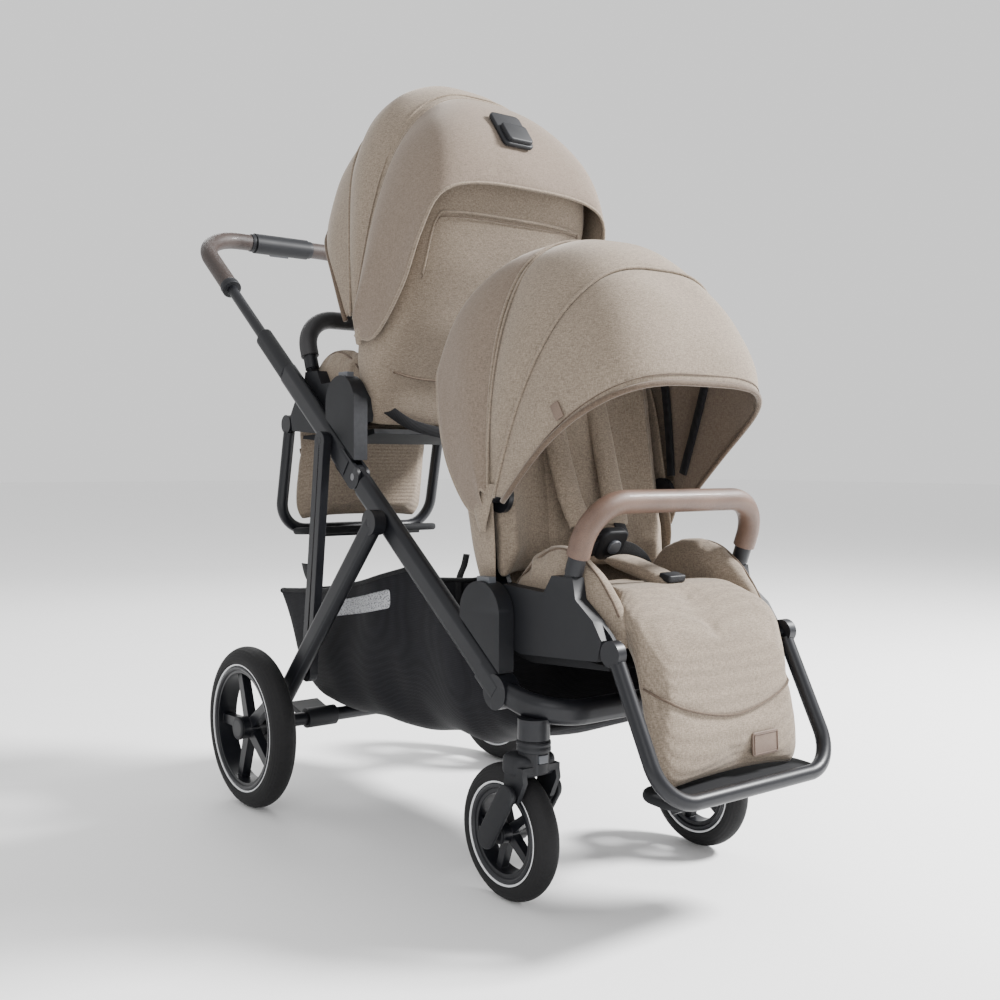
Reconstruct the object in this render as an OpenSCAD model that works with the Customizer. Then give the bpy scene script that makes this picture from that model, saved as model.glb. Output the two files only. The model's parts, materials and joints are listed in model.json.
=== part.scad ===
/* [Wheels] */
// Outer radius of a rear tyre
rear_wheel_r = 140; // [134:1:142]
// Outer radius of a front tyre
front_wheel_r = 95; // [88:1:96]
// Width of a rear tyre
rear_tyre_w = 44; // [38:1:44]
// Width of a front tyre
front_tyre_w = 36; // [30:1:38]
// Distance between the centre planes of the rear wheels
rear_track = 554; // [550:1:580]
// Distance from the rear axle forward to the front swivel axis
wheelbase = 670; // [666:1:680]
// Distance that a front axle trails behind its swivel axis
caster_trail = 50; // [46:1:54]

/* [Frame] */
// Distance between the centre planes of the two side tubes
frame_w = 384; // [382:1:386]
// Slope of the side tubes
tube_angle = 37.5; // [37:0.1:38]
// Depth of a side tube, seen from the side
tube_depth = 42; // [38:1:44]
// Width of a side tube, seen from the front
tube_w = 24; // [22:1:25]
// Height of the front cross tube's centre
front_bar_z = 268; // [264:1:272]
// Length of the handle past the leg pivot, along the tube
handle_reach = 915; // [880:5:940]
// Radius of the telescopic handle tube
handle_tube_r = 10; // [8:0.5:10]

/* [Seats] */
// Half of the width of a seat's side casings
seat_half_w = 176; // [174:1:177]
// Half of the width of a hood
hood_half_w = 190; // [186:1:192]
// Radius of the hood's shells about its pivot
hood_r = 362; // [356:1:364]
// How far the rear seat's back leans behind the front seat's
rear_recline = 16; // [14:1:17]

/* [Hidden] */
$fn = 40;

black = [0.09, 0.09, 0.11];
rubber = [0.12, 0.12, 0.13];
taupe = [0.60, 0.55, 0.49];
leather = [0.45, 0.36, 0.31];
webbing = [0.05, 0.05, 0.06];

run_gap = 0.08;     // radial clearance of a pin that turns
slide_gap = 0.4;    // clearance of a part that slides
part_gap = 1.5;     // clearance between neighbours that move past each other

// Pivots on the side tubes, as [y, z] in the plane of the frame; the rear axle is at y = 0
leg_pivot = [-309, 510];
tube_x = frame_w / 2;
function tube_point(s) = [leg_pivot[0] + s * cos(tube_angle), leg_pivot[1] + s * sin(tube_angle)];
fold_s = 115;       // fold hinge, along the tube from the leg pivot
strut_s = 213;      // strut pivot, along the tube
fold_pivot = tube_point(fold_s);
strut_top = tube_point(strut_s);
strut_foot = [-92, 242];
casing_s = [415, 535];
tube_half_rise = tube_depth / 2 / cos(tube_angle);
function tube_top_z(y) = leg_pivot[1] + (y - leg_pivot[0]) * tan(tube_angle) + tube_half_rise;

strut_x = 213;
strut_t = 15;
leg_top_x = 218;
leg_foot_x = 240;
leg_t = 22;
pin_r = 6;

front_hub = [-562, 392];    // [y, z] of the front seat's recline hinge
rear_hub = [-178, 702];     // [y, z] of the rear seat's recline hinge
hub_housing_r = 46;
hub_housing_x = [177.5, 203.5];
adapter_x = [184, 197];

origin_y = 231.4;             // from the rear axle to the middle of the whole length

// ---------------------------------------------------------------- helpers

function unit(v) = v / norm(v);
// A point of the side view as a point in space
function at_x(x, p) = [x, p[0], p[1]];

module both_sides() {
    children();
    mirror([1, 0, 0]) children();
}

module placed(o, ex, ey, ez) {
    multmatrix([
        [ex[0], ey[0], ez[0], o[0]],
        [ex[1], ey[1], ez[1], o[1]],
        [ex[2], ey[2], ez[2], o[2]],
        [0, 0, 0, 1]
    ]) children();
}

// Cylinder along X between two x values, about a point [y, z]
module x_rod(p, r, x0, x1) {
    translate([x0, p[0], p[1]]) rotate([0, 90, 0]) cylinder(r = r, h = x1 - x0);
}

// Plate whose outline is a list of [y, z] points, between two x values
module side_plate(points, x0, x1) {
    translate([x0, 0, 0]) rotate([90, 0, 90]) linear_extrude(x1 - x0) polygon(points);
}

// Link with round ends between two [y, z] points
module side_link(a, b, r, x0, x1) {
    d = unit([b[0] - a[0], b[1] - a[1]]);
    n = (r - r / 30) * [-d[1], d[0]];
    x_rod(a, r, x0, x1);
    x_rod(b, r, x0, x1);
    side_plate([a + n, b + n, b - n, a - n], x0, x1);
}

// Flat-sided oval, w wide and h high
module oval(w, h) {
    square([w, h - w], center = true);
    for (s = [-1, 1]) translate([0, s * (h - w) / 2]) circle(r = w / 2);
}

// Straight oval bar along +Z, wide side along Y
module oval_bar(w, h, length) linear_extrude(length) oval(w, h);

// Upright U of round bar: sides along +Z from z0, crossbar centred at z1
module u_bar(half_w, z0, z1, bend, r) {
    for (s = [-1, 1]) translate([s * half_w, 0, z0]) cylinder(r = r, h = z1 - bend - z0);
    translate([-half_w + bend, 0, z1]) rotate([0, 90, 0]) cylinder(r = r, h = 2 * (half_w - bend));
    both_sides() translate([half_w - bend, 0, z1 - bend]) rotate([90, 0, 0])
        rotate_extrude(angle = 90) translate([bend, 0]) circle(r = r);
}

// Flat U of oval bar in the XY plane, its crossbar at y = -reach
module flat_u(half_w, y0, reach, bend, w, h) {
    both_sides() {
        translate([half_w, y0, 0]) rotate([90, 0, 0]) oval_bar(w, h, reach - bend + y0);
        translate([half_w - bend, -reach + bend, 0]) rotate(-90)
            rotate_extrude(angle = 90) translate([bend, 0]) oval(w, h);
    }
    translate([-half_w + bend, -reach, 0]) rotate([90, 0, 90]) oval_bar(w, h, 2 * (half_w - bend));
}

// Frame whose +Z runs up along the side tubes from a distance along them
module on_tube(s) {
    p = tube_point(s);
    translate([0, p[0], p[1]]) rotate([tube_angle - 90, 0, 0]) children();
}

// ---------------------------------------------------------------- wheels

module tyre(r, w, inner_r) {
    rotate([0, 90, 0]) difference() {
        rotate_extrude($fn = 72) {
            translate([r - w / 2, 0]) circle(r = w / 2);
            translate([inner_r - 2, -w * 0.44]) square([r - w / 2 - inner_r + 2, w * 0.88]);
        }
        cylinder(r = inner_r, h = w + 2, center = true);
    }
}

module spoke(length, root_w, tip_w, thick) {
    linear_extrude(thick, center = true)
        polygon([[0, -root_w / 2], [length, -tip_w / 2], [length, tip_w / 2], [0, root_w / 2]]);
}

// Five-spoke rim about X with a bored hub
module rim(outer_r, w, hub_r, hub_w, bore_r) {
    ring_w = 13;
    rotate([0, 90, 0]) difference() {
        union() {
            rotate_extrude($fn = 72) translate([outer_r - ring_w, -w / 2]) square([ring_w, w]);
            cylinder(r = hub_r, h = hub_w, center = true);
            for (i = [0:4]) rotate(i * 72 + 18)
                spoke(outer_r - ring_w / 2, hub_r * 1.1, hub_r * 0.8, w * 0.45);
        }
        cylinder(r = bore_r, h = hub_w + 2, center = true);
    }
}

rear_rim_r = rear_wheel_r - 32;
front_rim_r = front_wheel_r - 27;
rear_axle_r = 6;
front_axle_r = 4;
rear_wheel_x = rear_track / 2;
front_wheel_y = -wheelbase + caster_trail;

module rear_tyre() color(rubber)
    translate([rear_wheel_x, 0, rear_wheel_r]) tyre(rear_wheel_r, rear_tyre_w, rear_rim_r);

module rear_rim() color(black)
    translate([rear_wheel_x, 0, rear_wheel_r])
        rim(rear_rim_r, rear_tyre_w * 0.8, 19, rear_tyre_w, rear_axle_r + run_gap);

module front_tyre() color(rubber)
    translate([tube_x, front_wheel_y, front_wheel_r])
        tyre(front_wheel_r, front_tyre_w, front_rim_r);

module front_rim() color(black)
    translate([tube_x, front_wheel_y, front_wheel_r])
        rim(front_rim_r, front_tyre_w * 0.8, 14, front_tyre_w + 6, front_axle_r + run_gap);

// ---------------------------------------------------------------- front casters

socket_z = [234, 262];
stem_r = 8;
column_r = 21;
column_z = [190, 233];
fork_x = [25, 33];
arm_pivot = [-662, 160];

module fork() color(black) {
    crown_z = 192;
    column = [tube_x, -wheelbase, 0];
    difference() {
        translate(column + [0, 0, column_z[0]])
            cylinder(r = column_r, h = column_z[1] - column_z[0]);
        translate([tube_x - 8.5, -wheelbase - column_r - 1, 203]) cube([17, 9, 13]);
    }
    translate(column + [0, 0, column_z[1]]) cylinder(r = stem_r, h = 18);
    translate([tube_x - fork_x[1], -wheelbase - 16, crown_z - 1])
        cube([2 * fork_x[1], 34, 9]);
    for (s = [-1, 1]) {
        x0 = tube_x + (s > 0 ? fork_x[0] : -fork_x[1]);
        difference() {
            side_plate([[-wheelbase - 16, crown_z], [-wheelbase + 22, crown_z],
                        [arm_pivot[0] + 16, arm_pivot[1] - 6], [arm_pivot[0] + 4, arm_pivot[1] - 14],
                        [arm_pivot[0] - 12, arm_pivot[1] - 8], [-wheelbase - 18, crown_z - 12]],
                       x0, x0 + fork_x[1] - fork_x[0]);
            x_rod(arm_pivot, 4 + run_gap, x0 - 1, x0 + fork_x[1] - fork_x[0] + 1);
        }
    }
}

// Trailing arm between the fork and the wheel, with its pivot bolt and axle bolt
module swing_arm() color(black) {
    axle = [front_wheel_y, front_wheel_r];
    outer_x = [fork_x[1] + 0.5, fork_x[1] + 7];
    for (s = [-1, 1]) {
        x0 = tube_x + (s > 0 ? outer_x[0] : -outer_x[1]);
        side_link(arm_pivot, axle, 12, x0, x0 + outer_x[1] - outer_x[0]);
    }
    x_rod(arm_pivot, 4, tube_x + fork_x[0] + 1, tube_x + outer_x[0]);
    x_rod(arm_pivot, 4, tube_x - outer_x[0], tube_x - fork_x[0] - 1);
    x_rod(axle, front_axle_r, tube_x - outer_x[0], tube_x + outer_x[0]);
    for (s = [-1, 1]) {
        x0 = tube_x + (s > 0 ? front_tyre_w / 2 + 4 : -outer_x[0]);
        x_rod(axle, 8, x0, x0 + outer_x[0] - front_tyre_w / 2 - 4);
    }
}

module wheel_button() color([0.3, 0.3, 0.33])
    translate([tube_x - 7.5, -wheelbase - column_r - 0.5, 204]) cube([15, 5, 11]);

// ---------------------------------------------------------------- frame

elbow = [-600, 287];      // where the side tubes turn level
bar_tilt = atan((elbow[1] - front_bar_z) / (wheelbase + 35 + elbow[0]));
elbow_s = (elbow[0] - leg_pivot[0]) / cos(tube_angle);
hinge_gap = 23;

module front_frame() color(black) {
    difference() {
        union() {
            both_sides() {
                on_tube(elbow_s) translate([tube_x, 0, 0])
                    oval_bar(tube_w, tube_depth, fold_s - hinge_gap - elbow_s);
                // moulded elbow with the socket of a front caster
                on_tube(elbow_s) translate([tube_x, 0, 0]) oval_bar(tube_w + 5, tube_depth + 4, 46);
                x_rod(elbow, tube_depth / 2 + 4, tube_x - 14, tube_x + 14);
                translate([tube_x, -wheelbase, socket_z[0]])
                    cylinder(r = column_r + 1, h = socket_z[1] - socket_z[0]);
                // tongue of the fold hinge
                side_link(tube_point(fold_s - 60), fold_pivot, 20, tube_x - 5, tube_x + 5);
            }
            translate([0, elbow[0], elbow[1]]) rotate([bar_tilt, 0, 0])
                flat_u(tube_x - 1, -1, wheelbase + 35 + elbow[0], 62, tube_w + 2, 36);
        }
        both_sides() {
            x_rod(fold_pivot, pin_r + run_gap, tube_x - 6, tube_x + 6);
            translate([tube_x, -wheelbase, socket_z[0] - 1]) cylinder(r = stem_r + run_gap, h = 21);
        }
    }
    // studs on which the rear legs turn
    both_sides() x_rod(leg_pivot, pin_r, tube_x + tube_w / 2 - 2, leg_top_x + leg_t / 2);
}

module adapter(hub) difference() {
    z_low = tube_top_z(hub[0]) - tube_half_rise;
    translate([adapter_x[0], hub[0] - 12, z_low])
        cube([adapter_x[1] - adapter_x[0], 24, hub[1] + 12 - z_low]);
    on_tube(-400) translate([tube_x, 0, 0]) oval_bar(tube_w + 3.2, tube_depth + 5.2, 900);
}

module lower_adapters() color(black) both_sides() adapter(front_hub);

module upper_adapters() color(black) both_sides() adapter(rear_hub);

module pivot_pins() color([0.35, 0.35, 0.37])
    both_sides() x_rod(fold_pivot, pin_r, tube_x - 11, tube_x + 11);

module upper_frame() color(black) both_sides() difference() {
    union() {
        on_tube(fold_s + hinge_gap) translate([tube_x, 0, 0])
            oval_bar(tube_w, tube_depth, casing_s[0] - fold_s - hinge_gap);
        on_tube(fold_s + hinge_gap) translate([tube_x, 0, 0]) oval_bar(tube_w + 2, tube_depth + 4, 50);
        // ears of the fold hinge
        for (x = [tube_x - 11.5, tube_x + 6])
            side_link(fold_pivot, tube_point(fold_s + 45), 20, x, x + 5.5);
        // stud on which the strut turns
        x_rod(strut_top, pin_r, tube_x + tube_w / 2 - 2, strut_x + strut_t / 2);
    }
    x_rod(fold_pivot, pin_r + run_gap, tube_x - 13, tube_x + 13);
    on_tube(casing_s[0] - 150) translate([tube_x, 0, 0]) cylinder(r = handle_tube_r + slide_gap, h = 160);
}

module slider_casings() color(black) both_sides() difference() {
    length = casing_s[1] - casing_s[0];
    on_tube(casing_s[0]) translate([tube_x, 0, 0]) oval_bar(tube_w + 3, tube_depth - 5, length);
    on_tube(casing_s[0]) translate([tube_x, 0, -1]) cylinder(r = handle_tube_r + slide_gap, h = length + 2);
}

// ---------------------------------------------------------------- handle

grip_s = 715;
grip_r = 17;
hub_half_w = 62;
handle_corner_r = 95;
handle_s0 = casing_s[0] - 60;

module handle_bar() color(black) on_tube(handle_s0)
    u_bar(tube_x, 0, handle_reach - handle_s0, handle_corner_r, handle_tube_r);

module half_grip(r) {
    reach = handle_reach - grip_s;
    translate([tube_x, 0, 0]) cylinder(r = r, h = reach - handle_corner_r);
    translate([tube_x - handle_corner_r, 0, reach - handle_corner_r]) rotate([90, 0, 0])
        rotate_extrude(angle = 90) translate([handle_corner_r, 0]) circle(r = r);
    translate([hub_half_w, 0, reach]) rotate([0, 90, 0])
        cylinder(r = r, h = tube_x - handle_corner_r - hub_half_w);
}

module handle_grips() color(leather) both_sides() difference() {
    on_tube(grip_s) half_grip(grip_r);
    on_tube(grip_s) half_grip(handle_tube_r);
}

module handle_hub() color(black) on_tube(handle_reach) difference() {
    translate([-hub_half_w, 0, 0]) rotate([90, 0, 90]) oval_bar(40, 36, 2 * hub_half_w);
    translate([-hub_half_w - 1, 0, 0]) rotate([0, 90, 0]) cylinder(r = handle_tube_r, h = 2 * hub_half_w + 2);
    translate([-22.5, 14, -10]) cube([45, 7, 20]);
}

module handle_button() color([0.2, 0.2, 0.22]) on_tube(handle_reach)
    translate([-22, 18, -9.5]) cube([44, 4, 19]);

// ---------------------------------------------------------------- legs, axle and struts

function leg_x(p) = leg_top_x + (leg_foot_x - leg_top_x) * norm(p - leg_pivot) / norm(leg_foot - leg_pivot);
leg_foot = [0, rear_wheel_r];

leg_length = norm(leg_foot - leg_pivot);
leg_lean = atan2(leg_foot[0] - leg_pivot[0], leg_pivot[1] - leg_foot[1]);
leg_splay = asin((leg_foot_x - leg_top_x) / leg_length);

module rear_legs() color(black) both_sides() {
    difference() {
        union() {
            translate([leg_top_x, leg_pivot[0], leg_pivot[1]]) rotate([leg_lean, leg_splay, 0])
                rotate([180, 0, 0]) rotate([0, leg_splay * (1 + cos(leg_lean)), 0]) oval_bar(leg_t, 36, leg_length - 4);
            x_rod(leg_pivot, 20, leg_top_x - leg_t / 2 + 1, leg_top_x + leg_t / 2);
            x_rod(leg_foot, 32, leg_foot_x - 14, leg_foot_x + 11);
        }
        x_rod(leg_pivot, pin_r + run_gap, leg_top_x - 20, leg_top_x + 20);
        x_rod(leg_foot, rear_axle_r, leg_foot_x - 20, leg_foot_x + 20);
        x_rod(strut_foot, pin_r - 1, leg_x(strut_foot) - 30, leg_x(strut_foot) + 4);
    }
    // pin that holds the strut's foot
    x_rod(strut_foot, pin_r - 1, strut_x - strut_t / 2 - 2, leg_x(strut_foot) + 4);
}

module rear_axle() color(black) {
    x_rod(leg_foot, 12, -leg_foot_x + 14, leg_foot_x - 14);
    both_sides() x_rod(leg_foot, rear_axle_r, leg_foot_x - 14, rear_wheel_x + rear_tyre_w / 2 + 1);
    both_sides() x_rod(leg_foot, 14, rear_wheel_x + rear_tyre_w / 2 + 1, rear_wheel_x + rear_tyre_w / 2 + 5);
}

module struts() color(black) both_sides() difference() {
    side_link(strut_top, strut_foot, 16, strut_x - strut_t / 2, strut_x + strut_t / 2);
    x_rod(strut_top, pin_r + run_gap, strut_x - 20, strut_x + 20);
    // the open pivot of the linkage has room for the small closing error
    x_rod(strut_foot, pin_r - 0.5, strut_x - 20, strut_x + 20);
}

module brake_pedal() color(black) {
    pedal_x = [-170, -110];
    difference() {
        union() {
            x_rod(leg_foot, 18, pedal_x[0], pedal_x[1]);
            side_plate([[10, 146], [62, 160], [66, 154], [60, 150], [12, 132]], pedal_x[0], pedal_x[1]);
        }
        x_rod(leg_foot, 12 + run_gap, pedal_x[0] - 1, pedal_x[1] + 1);
    }
}

// ---------------------------------------------------------------- basket

module basket() color(webbing) {
    wall = 3;
    half_w = 168;
    outside = [[88, 362], [30, 200], [0, 174], [-480, 174], [-525, 204], [-640, 222],
               [-648, 236], [-560, 262], [-330, 436], [-60, 372]];
    inside = [[90, 380], [27, 202], [0, 177], [-479, 177], [-524, 207], [-639, 225],
              [-645, 236], [-560, 265], [-330, 450], [-60, 390]];
    difference() {
        side_plate(outside, -half_w, half_w);
        side_plate(inside, -half_w + wall, half_w - wall);
    }
}

// ---------------------------------------------------------------- seats
// A seat is drawn facing -Y with its recline hinge at the origin; points are [forward, up]

function side(points) = [for (p = points) [-p[0], p[1]]];
module seat_plate(points, x0, x1) side_plate(side(points), x0, x1);
module seat_rod(p, r, x0, x1) x_rod([-p[0], p[1]], r, x0, x1);
function in_seat(x, p) = [x, -p[0], p[1]];

footrest_hinge = [238, -29];
hood_pivot = [0, 165];
bumper_base = [143, 28];
bumper_lean = 20;
bumper_dir = [sin(bumper_lean), cos(bumper_lean)];
bumper_reach = 142;
bumper_r = 10;
arm_x = [156, seat_half_w];
back_x = [146, 154];
lever_x = [184, 197];

module place_seat(seat) {
    hub = seat == "front" ? front_hub : rear_hub;
    translate([0, hub[0], hub[1]]) rotate(seat == "front" ? 0 : 180) children();
}

// The back leans about the recline hinge
module place_back(seat) {
    place_seat(seat) rotate([seat == "front" ? 0 : -rear_recline, 0, 0]) children();
}

// Height of the side tube's top over the hub, at a forward distance
function tube_under(seat, f) = seat == "front"
    ? tube_top_z(front_hub[0] - f) - front_hub[1]
    : tube_top_z(rear_hub[0] + f) - rear_hub[1];

module seat_casings(seat) color(black) place_seat(seat) both_sides() {
    r = hub_housing_r;
    foot_gap = 6;
    // hub housing, with a socket that takes the frame's adapter from below
    difference() {
        union() {
            seat_rod([0, 0], r, hub_housing_x[0], hub_housing_x[1]);
            seat_plate([[-r, 0], [r, 0], [r, tube_under(seat, r) + 2], [-r, tube_under(seat, -r) + 2]],
                       hub_housing_x[0], hub_housing_x[1]);
        }
        // cut parallel to the side tube, clear of it
        seat_plate([[r + 2, tube_under(seat, r + 2) + foot_gap], [-r - 2, tube_under(seat, -r - 2) + foot_gap],
                    [-r - 2, -150], [r + 2, -150]], hub_housing_x[0] - 1, hub_housing_x[1] + 1);
        translate([adapter_x[0] - slide_gap, -12 - slide_gap, -150])
            cube([adapter_x[1] - adapter_x[0] + 2 * slide_gap, 24 + 2 * slide_gap, 162 + slide_gap]);
        translate([lever_x[0] - slide_gap, -14.4, 28])
            cube([lever_x[1] - lever_x[0] + 2 * slide_gap, 28.8, 30]);
    }
    // side arm, from the hub to the footrest hinge
    difference() {
        union() {
            seat_plate([[-36, 8], [-24, 34], [20, 42], [108, 38], [124, 62], [166, 62],
                        [172, 34], [205, 10], [222, -14], [214, -42], [60, -52], [-28, -30]],
                       arm_x[0], arm_x[1]);
            seat_rod([0, 0], 8, back_x[0] - 2, arm_x[0]);
            seat_rod(footrest_hinge, 5, arm_x[0] - 2, arm_x[1] - 2);
            seat_plate([[205, 8], [224, -8], [footrest_hinge[0], -24], [footrest_hinge[0], -34],
                        [214, -42], [190, -20]], arm_x[0], arm_x[0] + 6);
        }
        bumper_hole();
    }
    seat_rod([0, 0], 24, arm_x[1], hub_housing_x[0]);
}

// Frame whose +Z runs up along the legs of the bumper bar
module on_bumper() translate([0, -bumper_base[0], bumper_base[1]]) rotate([bumper_lean, 0, 0]) children();

// Where a bumper bar's leg goes into the side arm
module bumper_hole() on_bumper()
    translate([bumper_x - 8 - slide_gap, -8 - slide_gap, -8])
        cube([16 + 2 * slide_gap, 16 + 2 * slide_gap, 60]);

module seat_release_levers(seat) color([0.3, 0.3, 0.33]) place_seat(seat) both_sides()
    translate([lever_x[0], -14, 34]) cube([lever_x[1] - lever_x[0], 28, 18]);

module seat_pan(seat) color(black) place_seat(seat) {
    seat_plate([[-30, -42], [212, -50], [214, -56], [60, -66], [-32, -50]],
               -arm_x[0] + 1, arm_x[0] - 1);
}

module seat_cushion(seat) color(taupe) place_seat(seat) {
    seat_plate([[-24, -40], [-22, 8], [60, 6], [140, 18], [205, 12], [228, -8], [226, -34], [208, -48]],
               -111, 111);
    both_sides() seat_plate(
        [[-14, -39], [-10, 30], [40, 92], [100, 104], [160, 88], [212, 36], [232, -6], [228, -34], [208, -47]],
        112, 143);
}

module seat_harness(seat) color(webbing) place_seat(seat) {
    translate([-32, -96, 30]) rotate([-30, 0, 0]) cube([64, 48, 14]);
    translate([-24, -150, 19.5]) cube([48, 44, 8]);
}

module back_frame(seat) color(black) place_back(seat) {
    both_sides() difference() {
        union() {
            seat_rod([0, 0], 26, back_x[0], back_x[1]);
            seat_plate([[-24, 8], [12, 20], [-12, 74], [-36, 70]], back_x[0], back_x[1]);
        }
        seat_rod([0, 0], 8 + run_gap, back_x[0] - 1, back_x[1] + 1);
    }
    // bracket and disc that carry the hood
    both_sides() {
        seat_plate([[-64, 150], [-8, 150], [8, 165], [-8, 184], [-70, 190]], 160, 168);
        seat_rod(hood_pivot, 24, 160, 168);
        seat_rod(hood_pivot, 9, 168, hood_half_w - 3);
        seat_rod([-51, 170], 6, 146, 162);
    }
    translate([0, 20, 0]) rotate([-10.5, 0, 0]) u_bar(148, 44, 421, 40, 7);
}

// Fabric-covered back of the seat: a tray that wraps the frame from behind
module back_shell(seat) color(taupe) place_back(seat) difference() {
    half_w = 176;
    seat_plate([[-46, 30], [-96, 150], [-116, 290], [-122, 425], [-108, 434], [-66, 434],
                [-40, 300], [-34, 196], [-30, 140], [-26, 84]], -half_w, half_w);
    seat_plate([[-38, 40], [-92, 152], [-112, 290], [-118, 423], [-106, 429], [-60, 460],
                [0, 300], [0, 40]], -half_w + 5, half_w - 5);
    // room for the brackets of the hood
    both_sides() seat_plate([[-90, 146], [0, 146], [0, 196], [-90, 194]], 158, 180);
}

module back_pad(seat) color(taupe) place_back(seat) {
    seat_plate([[-43, 62], [-28, 36], [-12, 40], [-16, 110], [-34, 220], [-52, 330], [-60, 424],
                [-82, 424], [-80, 300], [-64, 180]], -133, 133);
}

// Part of the hood between two angles, measured up from forward about the hood's pivot
module hood_shell(from, to, r, half_w, corner = 70) {
    wall = 3;
    translate([0, -hood_pivot[0], hood_pivot[1]])
        placed([0, 0, 0], [0, -cos(from), sin(from)], [0, sin(from), cos(from)], [-1, 0, 0])
            rotate_extrude(angle = to - from, $fn = 90) difference() {
                hood_section(r, half_w, corner);
                hood_section(r - wall, half_w - wall, corner - wall);
                translate([-1, -half_w - 1]) square([17, 2 * half_w + 2]);
            }
}

module hood_section(r, half_w, corner) {
    translate([0, -half_w]) square([r - corner, 2 * half_w]);
    translate([0, -half_w + corner]) square([r, 2 * (half_w - corner)]);
    for (s = [-1, 1]) translate([r - corner, s * (half_w - corner)]) circle(r = corner);
}

// Angles of the hood's seams: brim, middle, rear, and the rear edge
function hood_angles(seat) = seat == "front" ? [33, 65, 91, 117] : [25, 59, 87, 115];
hood_step = 5;  // the shells slide inside each other
visor_r = hood_r - 57;

module hood_rear(seat) color(taupe) place_back(seat)
    hood_shell(hood_angles(seat)[2] - 1, hood_angles(seat)[3], hood_r, hood_half_w + hood_step);

module hood_middle(seat) color(taupe) place_back(seat)
    hood_shell(hood_angles(seat)[1] - 1, hood_angles(seat)[2] + 1, hood_r - hood_step, hood_half_w);

module hood_front(seat) color(taupe) place_back(seat)
    hood_shell(hood_angles(seat)[0], hood_angles(seat)[1] + 1, visor_r,
               hood_half_w - hood_step, 28);

bumper_x = (arm_x[0] + arm_x[1]) / 2;

module bumper_bar(seat) color(black) place_seat(seat) on_bumper() {
    both_sides() {
        translate([bumper_x - 8, -8, 0]) cube([16, 16, 46]);
        translate([bumper_x, 0, 42]) cylinder(r = 12.5, h = 24);
    }
    u_bar(bumper_x, 40, bumper_reach, 60, bumper_r);
}

module bumper_grip(seat) color(leather) place_seat(seat) on_bumper() difference() {
    u_bar(bumper_x, 66, bumper_reach, 60, 16);
    u_bar(bumper_x, 60, bumper_reach, 60, bumper_r);
}

// The footrest hangs from its hinge and swings forward by its tilt
module on_footrest(seat, tilt) place_seat(seat)
    translate([0, -footrest_hinge[0], footrest_hinge[1]]) rotate([-tilt, 0, 0]) children();

module footrest(seat) color(black) on_footrest(seat, seat == "front" ? 27 : 12) {
    loop_x = 168;
    both_sides() difference() {
        union() {
            x_rod([0, 0], 17, arm_x[0] + 7, arm_x[1] + 1);
            translate([loop_x, 0, -60]) cylinder(r = 9, h = 50);
        }
        x_rod([0, 0], 5 + run_gap, arm_x[0] - 3, arm_x[1] - 1.9);
    }
    mirror([0, 0, 1]) u_bar(loop_x, 14, 200, 55, 10.5);
    translate([-120, -2, -205]) cube([240, 44, 5]);
}

module calf_cushion(seat) color(taupe) on_footrest(seat, seat == "front" ? 9 : 4)
    side_plate([[2, -4], [-20, -2], [-32, -20], [-38, -80], [-38, -140], [-28, -168], [-2, -168],
                [2, -90]], -146, 146);

// ---------------------------------------------------------------- assembly

module seat_node(seat, name) {
    if (name == "casings") seat_casings(seat);
    if (name == "pan") seat_pan(seat);
    if (name == "cushion") seat_cushion(seat);
    if (name == "harness") seat_harness(seat);
    if (name == "back_frame") back_frame(seat);
    if (name == "back_shell") back_shell(seat);
    if (name == "back_pad") back_pad(seat);
    if (name == "hood_rear") hood_rear(seat);
    if (name == "hood_middle") hood_middle(seat);
    if (name == "hood_front") hood_front(seat);
    if (name == "bumper_bar") bumper_bar(seat);
    if (name == "bumper_grip") bumper_grip(seat);
    if (name == "footrest") footrest(seat);
    if (name == "calf_cushion") calf_cushion(seat);
    if (name == "release_levers") seat_release_levers(seat);
}

SEAT_PARTS = ["casings", "pan", "cushion", "harness", "back_frame", "back_shell", "back_pad",
              "hood_rear", "hood_middle", "hood_front", "bumper_bar", "bumper_grip",
              "footrest", "calf_cushion", "release_levers"];

module right() mirror([1, 0, 0]) children();

translate([0, origin_y, 0]) {
    front_frame();
    lower_adapters();
    basket();
    pivot_pins();
    upper_frame();
    upper_adapters();
    slider_casings();
    handle_bar();
    handle_grips();
    handle_hub();
    handle_button();
    rear_legs();
    rear_axle();
    struts();
    brake_pedal();
    right() rear_tyre();  // rear_tyre_right
    right() rear_rim();  // rear_rim_right
    rear_tyre();  // rear_tyre_left
    rear_rim();  // rear_rim_left
    right() fork();  // fork_right
    fork();  // fork_left
    right() swing_arm();  // swing_arm_right
    swing_arm();  // swing_arm_left
    right() front_tyre();  // front_tyre_right
    right() front_rim();  // front_rim_right
    front_tyre();  // front_tyre_left
    front_rim();  // front_rim_left
    right() wheel_button();  // wheel_button_right
    wheel_button();  // wheel_button_left
    for (seat = ["front", "rear"], name = SEAT_PARTS)
        seat_node(seat, name);
}
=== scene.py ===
"""Looks of the tandem pushchair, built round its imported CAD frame. Metres, in the CAD's own frame."""

import json
import math

import bpy
import numpy as np
from mathutils import Matrix, Vector, noise
from mathutils.bvhtree import BVHTree


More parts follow.
